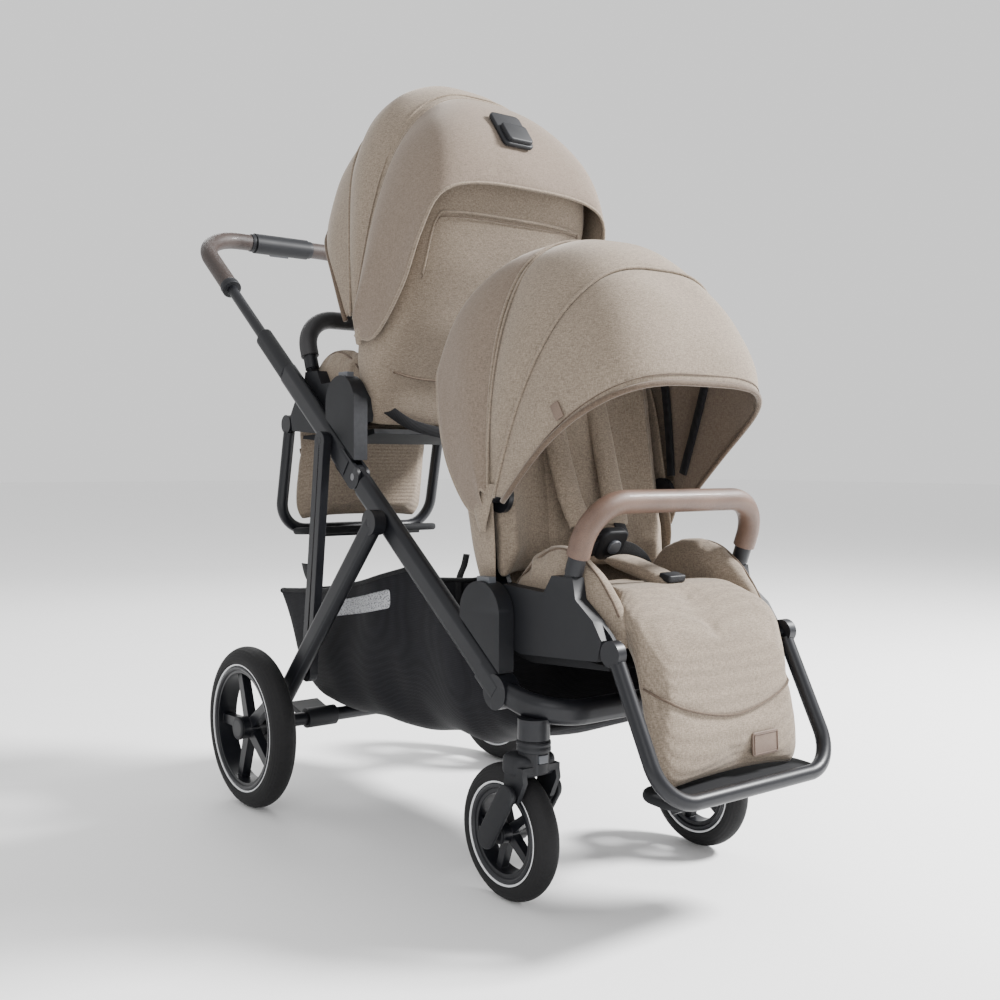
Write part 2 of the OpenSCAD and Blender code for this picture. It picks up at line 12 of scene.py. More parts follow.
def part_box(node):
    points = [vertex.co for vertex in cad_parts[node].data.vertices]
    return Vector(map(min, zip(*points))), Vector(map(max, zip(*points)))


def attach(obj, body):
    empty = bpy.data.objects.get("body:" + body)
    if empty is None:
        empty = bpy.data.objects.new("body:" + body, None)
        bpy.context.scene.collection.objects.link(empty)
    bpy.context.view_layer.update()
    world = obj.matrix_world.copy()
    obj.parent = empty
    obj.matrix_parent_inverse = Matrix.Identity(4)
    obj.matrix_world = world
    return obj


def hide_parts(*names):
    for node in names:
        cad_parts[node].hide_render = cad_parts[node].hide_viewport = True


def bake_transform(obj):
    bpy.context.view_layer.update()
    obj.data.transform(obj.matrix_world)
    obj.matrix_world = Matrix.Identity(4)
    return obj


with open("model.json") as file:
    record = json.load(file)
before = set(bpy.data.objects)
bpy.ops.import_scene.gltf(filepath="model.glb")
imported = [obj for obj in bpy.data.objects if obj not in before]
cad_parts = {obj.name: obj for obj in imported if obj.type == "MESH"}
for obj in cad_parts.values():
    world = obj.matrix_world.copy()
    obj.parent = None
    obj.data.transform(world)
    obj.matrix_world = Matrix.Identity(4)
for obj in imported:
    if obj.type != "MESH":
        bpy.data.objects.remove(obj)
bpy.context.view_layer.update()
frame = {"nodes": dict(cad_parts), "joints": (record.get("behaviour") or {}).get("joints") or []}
JOINT = {j["name"]: j for j in frame["joints"]}
SCENE = bpy.context.scene

# ---------------------------------------------------------------- materials


class Nodes:
    """A material's node tree, with short calls that add and join nodes."""

    def __init__(self, name):
        self.mat = bpy.data.materials.new(name)
        self.mat.use_nodes = True
        self.tree = self.mat.node_tree
        self.shader = self.tree.nodes["Principled BSDF"]
        self.place = self.tree.nodes.new("ShaderNodeTexCoord").outputs["Object"]

    def add(self, kind, inputs=None, **settings):
        node = self.tree.nodes.new("ShaderNode" + kind)
        for key, value in settings.items():
            setattr(node, key, value)
        for key, value in (inputs or {}).items():
            if isinstance(value, bpy.types.NodeSocket):
                self.tree.links.new(value, node.inputs[key])
            else:
                node.inputs[key].default_value = value
        return node

    def noise(self, scale, detail=2.0, rough=0.5, vector=None):
        return self.add("TexNoise", {"Vector": vector or self.place, "Scale": scale, "Detail": detail,
                                     "Roughness": rough}).outputs["Fac"]

    def stretched(self, scale):
        return self.add("Mapping", {"Vector": self.place, "Scale": scale}).outputs["Vector"]

    def ramp(self, fac, stops):
        node = self.add("ValToRGB", {"Fac": fac})
        ramp = node.color_ramp
        for i, (at, colour) in enumerate(stops):
            element = ramp.elements[i] if i < 2 else ramp.elements.new(at)
            element.position = at
            element.color = (*colour, 1)
        return node.outputs["Color"]

    def mix(self, fac, a, b, blend="MIX"):
        node = self.add("Mix", {0: fac}, data_type="RGBA", blend_type=blend)
        for key, value in ((6, a), (7, b)):
            if isinstance(value, bpy.types.NodeSocket):
                self.tree.links.new(value, node.inputs[key])
            else:
                node.inputs[key].default_value = (*value, 1)
        return node.outputs[2]

    def math(self, what, a, b=0.0, c=0.0):
        node = self.add("Math", operation=what)
        for key, value in enumerate((a, b, c)):
            if isinstance(value, bpy.types.NodeSocket):
                self.tree.links.new(value, node.inputs[key])
            else:
                node.inputs[key].default_value = value
        return node.outputs[0]

    def bump(self, height, strength, distance, under=None):
        inputs = {"Height": height, "Strength": strength, "Distance": distance}
        if under:
            inputs["Normal"] = under
        return self.add("Bump", inputs).outputs["Normal"]

    def wire(self, **sockets):
        for key, value in sockets.items():
            slot = self.shader.inputs[key.replace("_", " ")]
            if isinstance(value, bpy.types.NodeSocket):
                self.tree.links.new(value, slot)
            else:
                slot.default_value = value
        return self.mat


def heather(name, light, dark, rib=None):
    """Heather twill: two yarn colours in a fine weave, with slubs and soft shading of the pile."""
    n = Nodes(name)
    fine = n.noise(620, 3, 0.7)
    slub = n.noise(1.0, 2, 0.6, n.stretched((900, 900, 160)))
    slub2 = n.noise(1.0, 2, 0.6, n.stretched((170, 170, 900)))
    yarn = n.math("MULTIPLY_ADD", n.math("ADD", slub, slub2), 0.35, n.math("MULTIPLY", fine, 0.3))
    colour = n.ramp(yarn, ((0.40, dark), (0.60, light)))
    broad = n.noise(9, 3, 0.5)
    colour = n.mix(n.math("MULTIPLY", broad, 0.22), colour, tuple(c * 0.72 for c in light))
    height = n.math("ADD", n.math("MULTIPLY", fine, 0.6), yarn)
    normal = n.bump(height, 0.35, 0.0006)
    if rib:
        wave = n.add("TexWave", {"Vector": n.add("Mapping", {"Vector": n.place,
                                                             "Location": rib}).outputs["Vector"],
                                 "Scale": 55.0, "Distortion": 0.6, "Detail": 1.0, "Detail Scale": 12.0},
                     wave_type="RINGS", rings_direction="X").outputs["Fac"]
        normal = n.bump(wave, 0.55, 0.0009, normal)
        colour = n.mix(n.math("MULTIPLY", wave, 0.16), colour, tuple(c * 0.55 for c in dark))
    return n.wire(Base_Color=colour, Roughness=0.88, Normal=normal, Sheen_Weight=0.28, Sheen_Roughness=0.45,
                  Sheen_Tint=(0.95, 0.88, 0.8, 1), Specular_IOR_Level=0.2)


def moulded(name, colour, rough=0.42, grain=900, depth=0.00012, coat=0.0, metal=0.0, edge=0.35):
    """Moulded or coated surface: fine grain, uneven gloss, and edges worn a little lighter."""
    n = Nodes(name)
    fine = n.noise(grain, 2, 0.6)
    patch = n.noise(14, 4, 0.6)
    worn = n.math("MULTIPLY", n.add("NewGeometry").outputs["Pointiness"], 1.0)
    worn = n.add("MapRange", {"Value": worn, "From Min": 0.52, "From Max": 0.62, "To Max": edge}).outputs[0]
    worn = n.math("MULTIPLY", worn, n.math("MULTIPLY_ADD", n.noise(120, 3), 1.2, 0.2))
    base = n.mix(n.math("MULTIPLY", patch, 0.25), colour, tuple(c * 0.7 for c in colour))
    base = n.mix(worn, base, tuple(min(1.0, c * 3 + 0.03) for c in colour))
    roughness = n.math("MULTIPLY_ADD", patch, 0.16, rough - 0.08)
    return n.wire(Base_Color=base, Roughness=roughness, Normal=n.bump(fine, 0.25, depth), Metallic=metal,
                  Coat_Weight=coat, Coat_Roughness=0.25, Specular_IOR_Level=0.3)


def grained_leather(name, light, dark):
    n = Nodes(name)
    cells = n.add("TexVoronoi", {"Vector": n.place, "Scale": 480.0},
                  feature="DISTANCE_TO_EDGE").outputs["Distance"]
    cells2 = n.add("TexVoronoi", {"Vector": n.place, "Scale": 210.0},
                   feature="DISTANCE_TO_EDGE").outputs["Distance"]
    patch = n.noise(22, 5, 0.6)
    crease = n.ramp(cells, ((0.0, (0, 0, 0)), (0.12, (1, 1, 1))))
    base = n.ramp(patch, ((0.3, dark), (0.7, light)))
    base = n.mix(0.25, base, crease, "MULTIPLY")
    height = n.math("ADD", crease, n.math("MULTIPLY", cells2, 1.5))
    return n.wire(Base_Color=base, Roughness=n.math("MULTIPLY_ADD", patch, 0.2, 0.4),
                  Normal=n.bump(height, 0.3, 0.0005), Specular_IOR_Level=0.45, Coat_Weight=0.05)


def rubber_tyre(name, centre_y, centre_z, r):
    """Rubber with fine block tread on the crown only, laid out by angle about the axle."""
    n = Nodes(name)
    xyz = n.add("SeparateXYZ", {"Vector": n.place}).outputs
    dy = n.math("SUBTRACT", xyz["Y"], centre_y)
    dz = n.math("SUBTRACT", xyz["Z"], centre_z)
    radius = n.math("SQRT", n.math("ADD", n.math("MULTIPLY", dy, dy), n.math("MULTIPLY", dz, dz)))
    turn = n.math("ARCTAN2", dz, dy)
    blocks = n.math("SINE", n.math("MULTIPLY", turn, 84.0))
    blocks = n.math("MULTIPLY", blocks, n.math("SINE", n.math("MULTIPLY", xyz["X"], 420.0)))
    crown = n.add("MapRange", {"Value": radius, "From Min": r * 0.93, "From Max": r * 0.965}).outputs[0]
    tread = n.math("MULTIPLY", n.math("GREATER_THAN", blocks, -0.15), crown)
    rings = n.math("MULTIPLY", n.math("SINE", n.math("MULTIPLY", radius, 1500.0)), 0.12)
    dust = n.noise(60, 5, 0.7)
    colour = n.mix(n.math("MULTIPLY", dust, 0.3), (0.007, 0.007, 0.008), (0.028, 0.027, 0.026))
    normal = n.bump(n.math("ADD", tread, rings), 0.8, 0.0012)
    return n.wire(Base_Color=colour, Roughness=n.math("MULTIPLY_ADD", dust, 0.25, 0.6),
                  Normal=n.bump(n.noise(700, 2), 0.2, 0.0002, normal), Specular_IOR_Level=0.25)


def coarse_cloth(name, dark, light, weave=700, sheen=0.15):
    """Plain woven polyester: crossing threads, for the basket and the webbing."""
    n = Nodes(name)
    waves = []
    for direction in "XYZ":
        waves.append(n.add("TexWave", {"Vector": n.place, "Scale": weave / 6.28, "Distortion": 0.4},
                           wave_type="BANDS", bands_direction=direction).outputs["Fac"])
    threads = n.math("MULTIPLY", n.math("ADD", waves[0], waves[1]), n.math("ADD", waves[2], 0.4))
    patch = n.noise(16, 4, 0.6)
    colour = n.ramp(n.math("MULTIPLY_ADD", threads, 0.35, n.math("MULTIPLY", patch, 0.5)),
                    ((0.2, dark), (0.9, light)))
    return n.wire(Base_Color=colour, Roughness=0.72, Normal=n.bump(threads, 0.35, 0.0004), Sheen_Weight=sheen,
                  Specular_IOR_Level=0.15)


def open_mesh(name):
    """Silver-grey net: small round holes in a woven band."""
    n = Nodes(name)
    dots = n.add("TexVoronoi", {"Vector": n.place, "Scale": 330.0}, feature="F1").outputs["Distance"]
    holes = n.ramp(dots, ((0.3, (0.10, 0.10, 0.11)), (0.5, (0.46, 0.47, 0.49))))
    patch = n.noise(30, 3)
    return n.wire(Base_Color=n.mix(n.math("MULTIPLY", patch, 0.4), holes, (0.2, 0.2, 0.21)), Roughness=0.5,
                  Normal=n.bump(dots, 0.5, 0.0008), Metallic=0.15)


LIGHT, DARK = (0.280, 0.226, 0.173), (0.131, 0.104, 0.079)
M = {
    "fabric": heather("heather_taupe", LIGHT, DARK),
    "insert": heather("heather_insert", tuple(c * 1.1 for c in LIGHT), tuple(c * 1.08 for c in DARK)),
    "lining": heather("hood_lining", (0.21, 0.165, 0.13), (0.12, 0.092, 0.07)),
    "piping": heather("brown_piping", (0.13, 0.095, 0.07), (0.06, 0.042, 0.03)),
    "frame": moulded("satin_black_tube", (0.007, 0.0075, 0.010), 0.42, 1100, 0.00006, 0.12, 0.15),
    "plastic": moulded("moulded_black", (0.0055, 0.006, 0.008), 0.56, 800, 0.00015, 0.04),
    "matte": moulded("matte_black", (0.0035, 0.0038, 0.005), 0.8, 800, 0.00015),
    "rim": moulded("rim_black", (0.006, 0.0065, 0.009), 0.34, 900, 0.00008, 0.12),
    "button": moulded("button_grey", (0.075, 0.08, 0.09), 0.35, 700, 0.0001, 0.2),
    "steel": moulded("pin_steel", (0.22, 0.22, 0.23), 0.32, 600, 0.00005, 0.0, 0.9),
    "ring": moulded("reflective_ring", (0.62, 0.63, 0.65), 0.35, 500, 0.00008),
    "leather": grained_leather("brown_leather", (0.135, 0.080, 0.056), (0.085, 0.049, 0.034)),
    "dark_leather": grained_leather("dark_leather", (0.042, 0.026, 0.021), (0.025, 0.016, 0.013)),
    "black_leather": grained_leather("black_leather", (0.022, 0.021, 0.023), (0.014, 0.013, 0.014)),
    "patch": grained_leather("patch_leather", (0.17, 0.12, 0.09), (0.12, 0.08, 0.06)),
    "basket": coarse_cloth("basket_cloth", (0.0035, 0.0035, 0.005), (0.010, 0.010, 0.013), 700, 0.05),
    "webbing": coarse_cloth("black_webbing", (0.005, 0.005, 0.006), (0.018, 0.018, 0.02), 1400, 0.06),
    "mesh": open_mesh("silver_net"),
    "label": coarse_cloth("woven_label", (0.50, 0.48, 0.45), (0.70, 0.68, 0.64), 1500),
    "orange": coarse_cloth("orange_tab", (0.50, 0.16, 0.02), (0.65, 0.26, 0.05), 1500),
}

# ---------------------------------------------------------------- mesh tools


def new_object(name, verts, faces, material, smooth=True):
    mesh = bpy.data.meshes.new(name)
    mesh.from_pydata([tuple(map(float, v)) for v in verts], [], faces)
    mesh.update()
    obj = bpy.data.objects.new(name, mesh)
    SCENE.collection.objects.link(obj)
    mesh.materials.append(M[material])
    for p in mesh.polygons:
        p.use_smooth = smooth
    return obj


def apply_all(obj):
    graph = bpy.context.evaluated_depsgraph_get()
    graph.update()
    made = bpy.data.meshes.new_from_object(obj.evaluated_get(graph))
    obj.modifiers.clear()
    old = obj.data
    obj.data = made
    bpy.data.meshes.remove(old)
    for p in made.polygons:
        p.use_smooth = True
    return obj


def modify(obj, kind, **settings):
    m = obj.modifiers.new(kind.lower(), kind)
    for key, value in settings.items():
        setattr(m, key, value)
    return m


def grid_faces(nu, nv, close_v=False):
    faces = []
    for i in range(nu - 1):
        for j in range(nv if close_v else nv - 1):
            k = (j + 1) % nv
            faces.append((i * nv + j, i * nv + k, (i + 1) * nv + k, (i + 1) * nv + j))
    return faces


def sheet_object(name, points, material, thick=0.0024, inner=None, levels=1):
    """A sheet of fabric through a grid of points, [nu, nv, 3], with its thickness on the inside."""
    nu, nv = points.shape[:2]
    obj = new_object(name, points.reshape(-1, 3), grid_faces(nu, nv), material)
    if inner:
        obj.data.materials.append(M[inner])
    modify(obj, "SOLIDIFY", thickness=thick, offset=-1, material_offset=1 if inner else 0)
    if levels:
        modify(obj, "SUBSURF", levels=levels, render_levels=levels)
    return apply_all(obj)


def smooth_path(points, per=6):
    """Points along a smooth curve through the given ones."""
    p = np.array(points, float)
    if len(p) < 3:
        return p
    q = np.vstack([2 * p[0] - p[1], p, 2 * p[-1] - p[-2]])
    out = []
    for i in range(1, len(q) - 2):
        for t in np.linspace(0, 1, per, endpoint=False):
            a, b, c, d = q[i - 1:i + 3]
            out.append(0.5 * (2 * b + (c - a) * t + (2 * a - 5 * b + 4 * c - d) * t * t
                              + (3 * b - a - 3 * c + d) * t ** 3))
    out.append(p[-1])
    return np.array(out)


def tube(name, points, r, material, sides=8, closed=False):
    p = np.array(points, float)
    n = len(p)
    ahead = np.roll(p, -1, 0) - np.roll(p, 1, 0)
    if not closed:
        ahead[0], ahead[-1] = p[1] - p[0], p[-1] - p[-2]
    ahead /= np.linalg.norm(ahead, axis=1)[:, None] + 1e-12
    side = np.cross(ahead[0], (0.13, 0.31, 0.94))
    verts = []
    for i in range(n):
        side = side - ahead[i] * side.dot(ahead[i])
        side /= np.linalg.norm(side) + 1e-12
        other = np.cross(ahead[i], side)
        for k in range(sides):
            a = 2 * math.pi * k / sides
            verts.append(p[i] + r * (math.cos(a) * side + math.sin(a) * other))
    faces = grid_faces(n, sides, True)
    if closed:
        faces += [((n - 1) * sides + j, (n - 1) * sides + (j + 1) % sides, (j + 1) % sides,
                   j) for j in range(sides)]
    else:
        faces += [tuple(range(sides))[::-1], tuple((n - 1) * sides + j for j in range(sides))]
    return new_object(name, verts, faces, material)


def strap(name, points, across, width, thick, material):
    """A flat strap of woven webbing along a path; across is its width direction at each point."""
    p = np.array(points, float)
    w = np.array(across, float)
    w = np.broadcast_to(w, p.shape).copy()
    ahead = np.gradient(p, axis=0)
    ahead /= np.linalg.norm(ahead, axis=1)[:, None]
    w -= ahead * (w * ahead).sum(1)[:, None]
    w /= np.linalg.norm(w, axis=1)[:, None]
    up = np.cross(ahead, w)
    section = [(-0.5, -0.3), (-0.46, -0.5), (0.46, -0.5), (0.5, -0.3), (0.5, 0.3), (0.46, 0.5), (-0.46, 0.5),
               (-0.5, 0.3)]
    verts = [p[i] + w[i] * a * width + up[i] * b * thick for i in range(len(p)) for a, b in section]
    faces = grid_faces(len(p), 8, True)
    faces += [tuple(range(8))[::-1], tuple((len(p) - 1) * 8 + j for j in range(8))]
    obj = new_object(name, verts, faces, material)
    return obj


def pad_mesh(name, centre, thick, material, nu=28, nv=28, power=3.0, rim=0.18):
    """A closed cushion form: centre(u, v) and thick(u, v) for u and v from -1 to 1, thinning to its edges."""
    us, vs = np.linspace(-1, 1, nu), np.linspace(-1, 1, nv)
    c = np.array([[centre(u, v) for v in vs] for u in us], float)
    du, dv = np.gradient(c, axis=0), np.gradient(c, axis=1)
    normal = np.cross(du, dv)
    normal /= np.linalg.norm(normal, axis=-1)[..., None] + 1e-12
    t = np.array([[thick(u, v) * max(rim, (1 - abs(u) ** power) ** (1 / power) * (1 - abs(v) ** power) ** (1 / power))
                   for v in vs] for u in us])
    top, low = c + normal * t[..., None] / 2, c - normal * t[..., None] / 2
    verts = np.concatenate([top.reshape(-1, 3), low.reshape(-1, 3)])
    faces, n = list(grid_faces(nu, nv)), nu * nv
    faces += [tuple(n + k for k in f)[::-1] for f in grid_faces(nu, nv)]
    ring = ([i * nv for i in range(nu)] + [(nu - 1) * nv + j for j in range(1, nv)]
            + [i * nv + nv - 1 for i in range(nu - 2, -1, -1)] + [j for j in range(nv - 2, 0, -1)])
    for a, b in zip(ring, ring[1:] + ring[:1]):
        faces.append((b, a, n + a, n + b))
    return new_object(name, verts, faces, material)


def puff(obj, voxel=0.0055, cap=0.007, pressure=4.0):
    """Swells a pad as stuffed fabric does, by cloth simulation with air pressure inside."""
    modify(obj, "REMESH", mode="VOXEL", voxel_size=voxel)
    apply_all(obj)
    start = np.array([v.co for v in obj.data.vertices])
    cloth = obj.modifiers.new("cloth", "CLOTH")
    s = cloth.settings
    s.use_pressure = True
    s.uniform_pressure_force = pressure
    s.effector_weights.gravity = 0
    s.quality = 4
    s.mass = 0.3
    s.tension_stiffness = s.compression_stiffness = 12
    s.bending_stiffness = 0.6
    cloth.point_cache.frame_start, cloth.point_cache.frame_end = 1, 20
    for f in range(1, 21):
        SCENE.frame_set(f)
    graph = bpy.context.evaluated_depsgraph_get()
    moved = np.array([v.co for v in obj.evaluated_get(graph).data.vertices])
    obj.modifiers.clear()
    step = moved - start
    far = np.linalg.norm(step, axis=1)[:, None] + 1e-12
    step *= np.minimum(far, cap) / far
    obj.data.vertices.foreach_set("co", (start + step).astype(np.float32).ravel())
    SCENE.frame_set(1)
    return obj


def finish_pad(obj, material, levels=1):
    modify(obj, "SMOOTH", factor=0.6, iterations=3)
    if levels:
        modify(obj, "SUBSURF", levels=levels, render_levels=levels)
    apply_all(obj)
    obj.data.materials.clear()
    obj.data.materials.append(M[material])
    return obj


def groove(obj, path, width=0.005, depth=0.003):
    """Draws the surface in along a sewn seam."""
    p = np.array(path, float)
    co = np.array([v.co for v in obj.data.vertices])
    no = np.array([v.normal for v in obj.data.vertices])
    best = np.full(len(co), 1e9)
    for a, b in zip(p[:-1], p[1:]):
        d = b - a
        t = np.clip(((co - a) @ d) / (d @ d + 1e-12), 0, 1)
        best = np.minimum(best, np.linalg.norm(co - (a + t[:, None] * d), axis=1))
    co -= no * (depth * np.exp(-(best / width) ** 2))[:, None]
    obj.data.vertices.foreach_set("co", co.astype(np.float32).ravel())
    obj.data.update()


def onto(obj, points, direction, lift=0.0006):
    """Points dropped along a direction onto the object's surface."""
    mesh = obj.data
    tree = BVHTree.FromPolygons([v.co for v in mesh.vertices], [tuple(p.vertices) for p in mesh.polygons])
    d = Vector(direction).normalized()
    out = []
    for p in points:
        start = Vector(p) - d * 0.15
        hit, normal, _, _ = tree.ray_cast(start, d, 0.4)
        if hit is not None:
            out.append(np.array(hit) + np.array(normal) * lift)
    return np.array(out)


def wrinkle(points, amount, scale, seed):
    """Moves a grid of points by smooth noise, as slack fabric lies."""
    out = points.copy()
    du, dv = np.gradient(points, axis=0), np.gradient(points, axis=1)
    normal = np.cross(du, dv)
    normal /= np.linalg.norm(normal, axis=-1)[..., None] + 1e-9
    for i in range(points.shape[0]):
        for j in range(points.shape[1]):
            k = noise.noise(Vector(points[i, j]) * scale + Vector((seed, seed * 1.7, -seed)))
            out[i, j] += normal[i, j] * amount * k
    return out


def rounded_plate(name, corners_r, size, place, material, bevel=0.003):
    """A moulded plate with round corners: size (x, y, z), place a 4x4 matrix."""
    sx, sy, sz = size
    r, ring = corners_r, []
    for cx, cy, start in ((1, 1, 0), (-1, 1, 90), (-1, -1, 180), (1, -1, 270)):
        for k in range(7):
            a = math.radians(start + 15 * k)
            ring.append((cx * (sx / 2 - r) + r * math.cos(a), cy * (sy / 2 - r) + r * math.sin(a)))
    n = len(ring)
    verts = [(x, y, -sz / 2) for x, y in ring] + [(x, y, sz / 2) for x, y in ring]
    faces = [tuple(range(n))[::-1], tuple(range(n, 2 * n))]
    faces += [(i, (i + 1) % n, n + (i + 1) % n, n + i) for i in range(n)]
    obj = new_object(name, verts, faces, material)
    modify(obj, "BEVEL", width=bevel, segments=3, limit_method="ANGLE", angle_limit=math.radians(50))
    apply_all(obj)
    obj.data.transform(place)
    for p in obj.data.polygons:
        p.use_smooth = True
    return obj


def axes_at(origin, x, y):
    x, y = Vector(x).normalized(), Vector(y)
    z = x.cross(y).normalized()
    y = z.cross(x)
    m = Matrix((x, y, z)).transposed().to_4x4()
    m.translation = Vector(origin)
    return m


# ---------------------------------------------------------------- the CAD pieces' own finishes

for name, obj in frame["nodes"].items():
    if "tyre" in name:
        lo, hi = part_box(name)
        M[name] = rubber_tyre("rubber_" + name, (lo.y + hi.y) / 2, (lo.z + hi.z) / 2, (hi.z - lo.z) / 2)
        finish = name
    elif "rim_" in name:
        finish = "rim"
    elif "button" in name or "levers" in name:
        finish = "button"
    elif name == "handle_grips":
        finish = "dark_leather"
    elif name == "front_seat_bumper_grip":
        finish = "leather"
    elif name == "rear_seat_bumper_grip":
        finish = "black_leather"
    elif name == "pivot_pins":
        finish = "steel"
    elif "pan" in name:
        finish = "matte"
    elif any(k in name for k in ("casing", "adapter", "hub", "fork", "arm", "pedal")):
        finish = "plastic"
    else:
        finish = "frame"
    obj.data.materials.clear()
    obj.data.materials.append(M[finish])
    for p in obj.data.polygons:
        p.use_smooth = True
    if "tyre" not in name:
        modify(obj, "WELD", merge_threshold=0.00001)
        width = 0.0025 if any(k in name for k in ("casings", "fork", "arm", "pedal", "hub")) else 0.0008
        modify(obj, "BEVEL", width=width, segments=3, limit_method="ANGLE", angle_limit=math.radians(42),
               use_clamp_overlap=True)
        modify(obj, "WEIGHTED_NORMAL", keep_sharp=True)

# ---------------------------------------------------------------- seats
# A seat's own frame has its recline hinge at the origin; a point is x, forward and up.


def at(x, forward, up):
    return np.array((x, -forward, up), float)


class Seat:
    def __init__(self, name):
        recline = JOINT[name + "_seat_recline"]
        self.name = name
        self.body, self.back = name + "_seat", name + "_seat_back"
        hub = Vector(recline["pos_m"])
        turn = 0 if recline["axis"][0] > 0 else math.pi
        pivot = Vector(JOINT[name + "_hood_fold"]["pos_m"]) - hub
        lean = math.atan2(pivot.y if turn == 0 else -pivot.y, pivot.z)
        self.to_seat = Matrix.Translation(hub) @ Matrix.Rotation(turn, 4, "Z")
        self.to_back = self.to_seat @ Matrix.Rotation(-lean, 4, "X")
        self.pivot = np.array((0, 0, pivot.length))
        hinge = self.to_seat.inverted() @ Vector(JOINT[name + "_footrest_raise"]["pos_m"])
        self.hinge = np.array(hinge)

    def world(self, point, back=False):
        return tuple((self.to_back if back else self.to_seat) @ Vector(point))

    def place(self, obj, name, back=False, rides=None):
        obj.name = self.name + "_" + name
        obj.data.transform(self.to_back if back else self.to_seat)
        if rides != "":
            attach(obj, rides or (self.back if back else self.body))
        return obj


def symmetric_line(half, per):
    """A smooth line, the same left and right, from the points of its right half and the middle one."""
    return smooth_path([at(*q) for q in half] + [at(-x, f, up) for x, f, up in half[-2::-1]], per)


def copy_of(obj):
    new = obj.copy()
    new.data = obj.data.copy()
    SCENE.collection.objects.link(new)
    return new


HOOD_W = 0.190
FRONT_HOOD = ((33, .284), (40, .303), (48, .318), (58, .338), (70, .360), (80, .371), (91, .374), (103, .366),
              (117, .350))
REAR_HOOD = ((25, .258), (34, .282), (45, .312), (59, .345), (66, .364), (75, .372), (87, .352), (100, .334),
             (115, .315))


def hood_curve(seat, angle, v, width=HOOD_W, grow=0.0, square=0.0):
    """A point of the hood: angle up from forward, v from -1 at one pivot over the top to 1 at the other."""
    profile = FRONT_HOOD if seat.name == "front" else REAR_HOOD
    r = float(np.interp(angle, [a for a, _ in profile], [b for _, b in profile])) + grow
    power = square or float(np.interp(angle, (30, 60, 90), (3.7, 3.0, 2.6)))
    phi = math.pi / 2 * (1 - v * 0.985)
    c, s = math.cos(phi), math.sin(phi)
    x = (width + grow) * math.copysign(abs(c) ** (2 / power), c)
    rho = r * abs(s) ** (2 / power)
    a = math.radians(angle)
    tip = (0.026 if seat.name == "front" else 0.048) * abs(v) ** 9
    return seat.pivot + at(x, rho * math.cos(a) + 0.2 * tip, rho * math.sin(a) - tip)


def hood_panel(seat, a0, a1, bulge, seed, nu=16, nv=56):
    grid = np.zeros((nu, nv, 3))
    for i, u in enumerate(np.linspace(0, 1, nu)):
        for j, v in enumerate(np.linspace(-1, 1, nv)):
            swell = bulge * math.sin(math.pi * u) * (1 - abs(v) ** 6)
            grid[i, j] = hood_curve(seat, a0 + (a1 - a0) * u, v, grow=swell)
    grid[1:-1] = wrinkle(grid, 0.0032, 14, seed)[1:-1]
    return grid


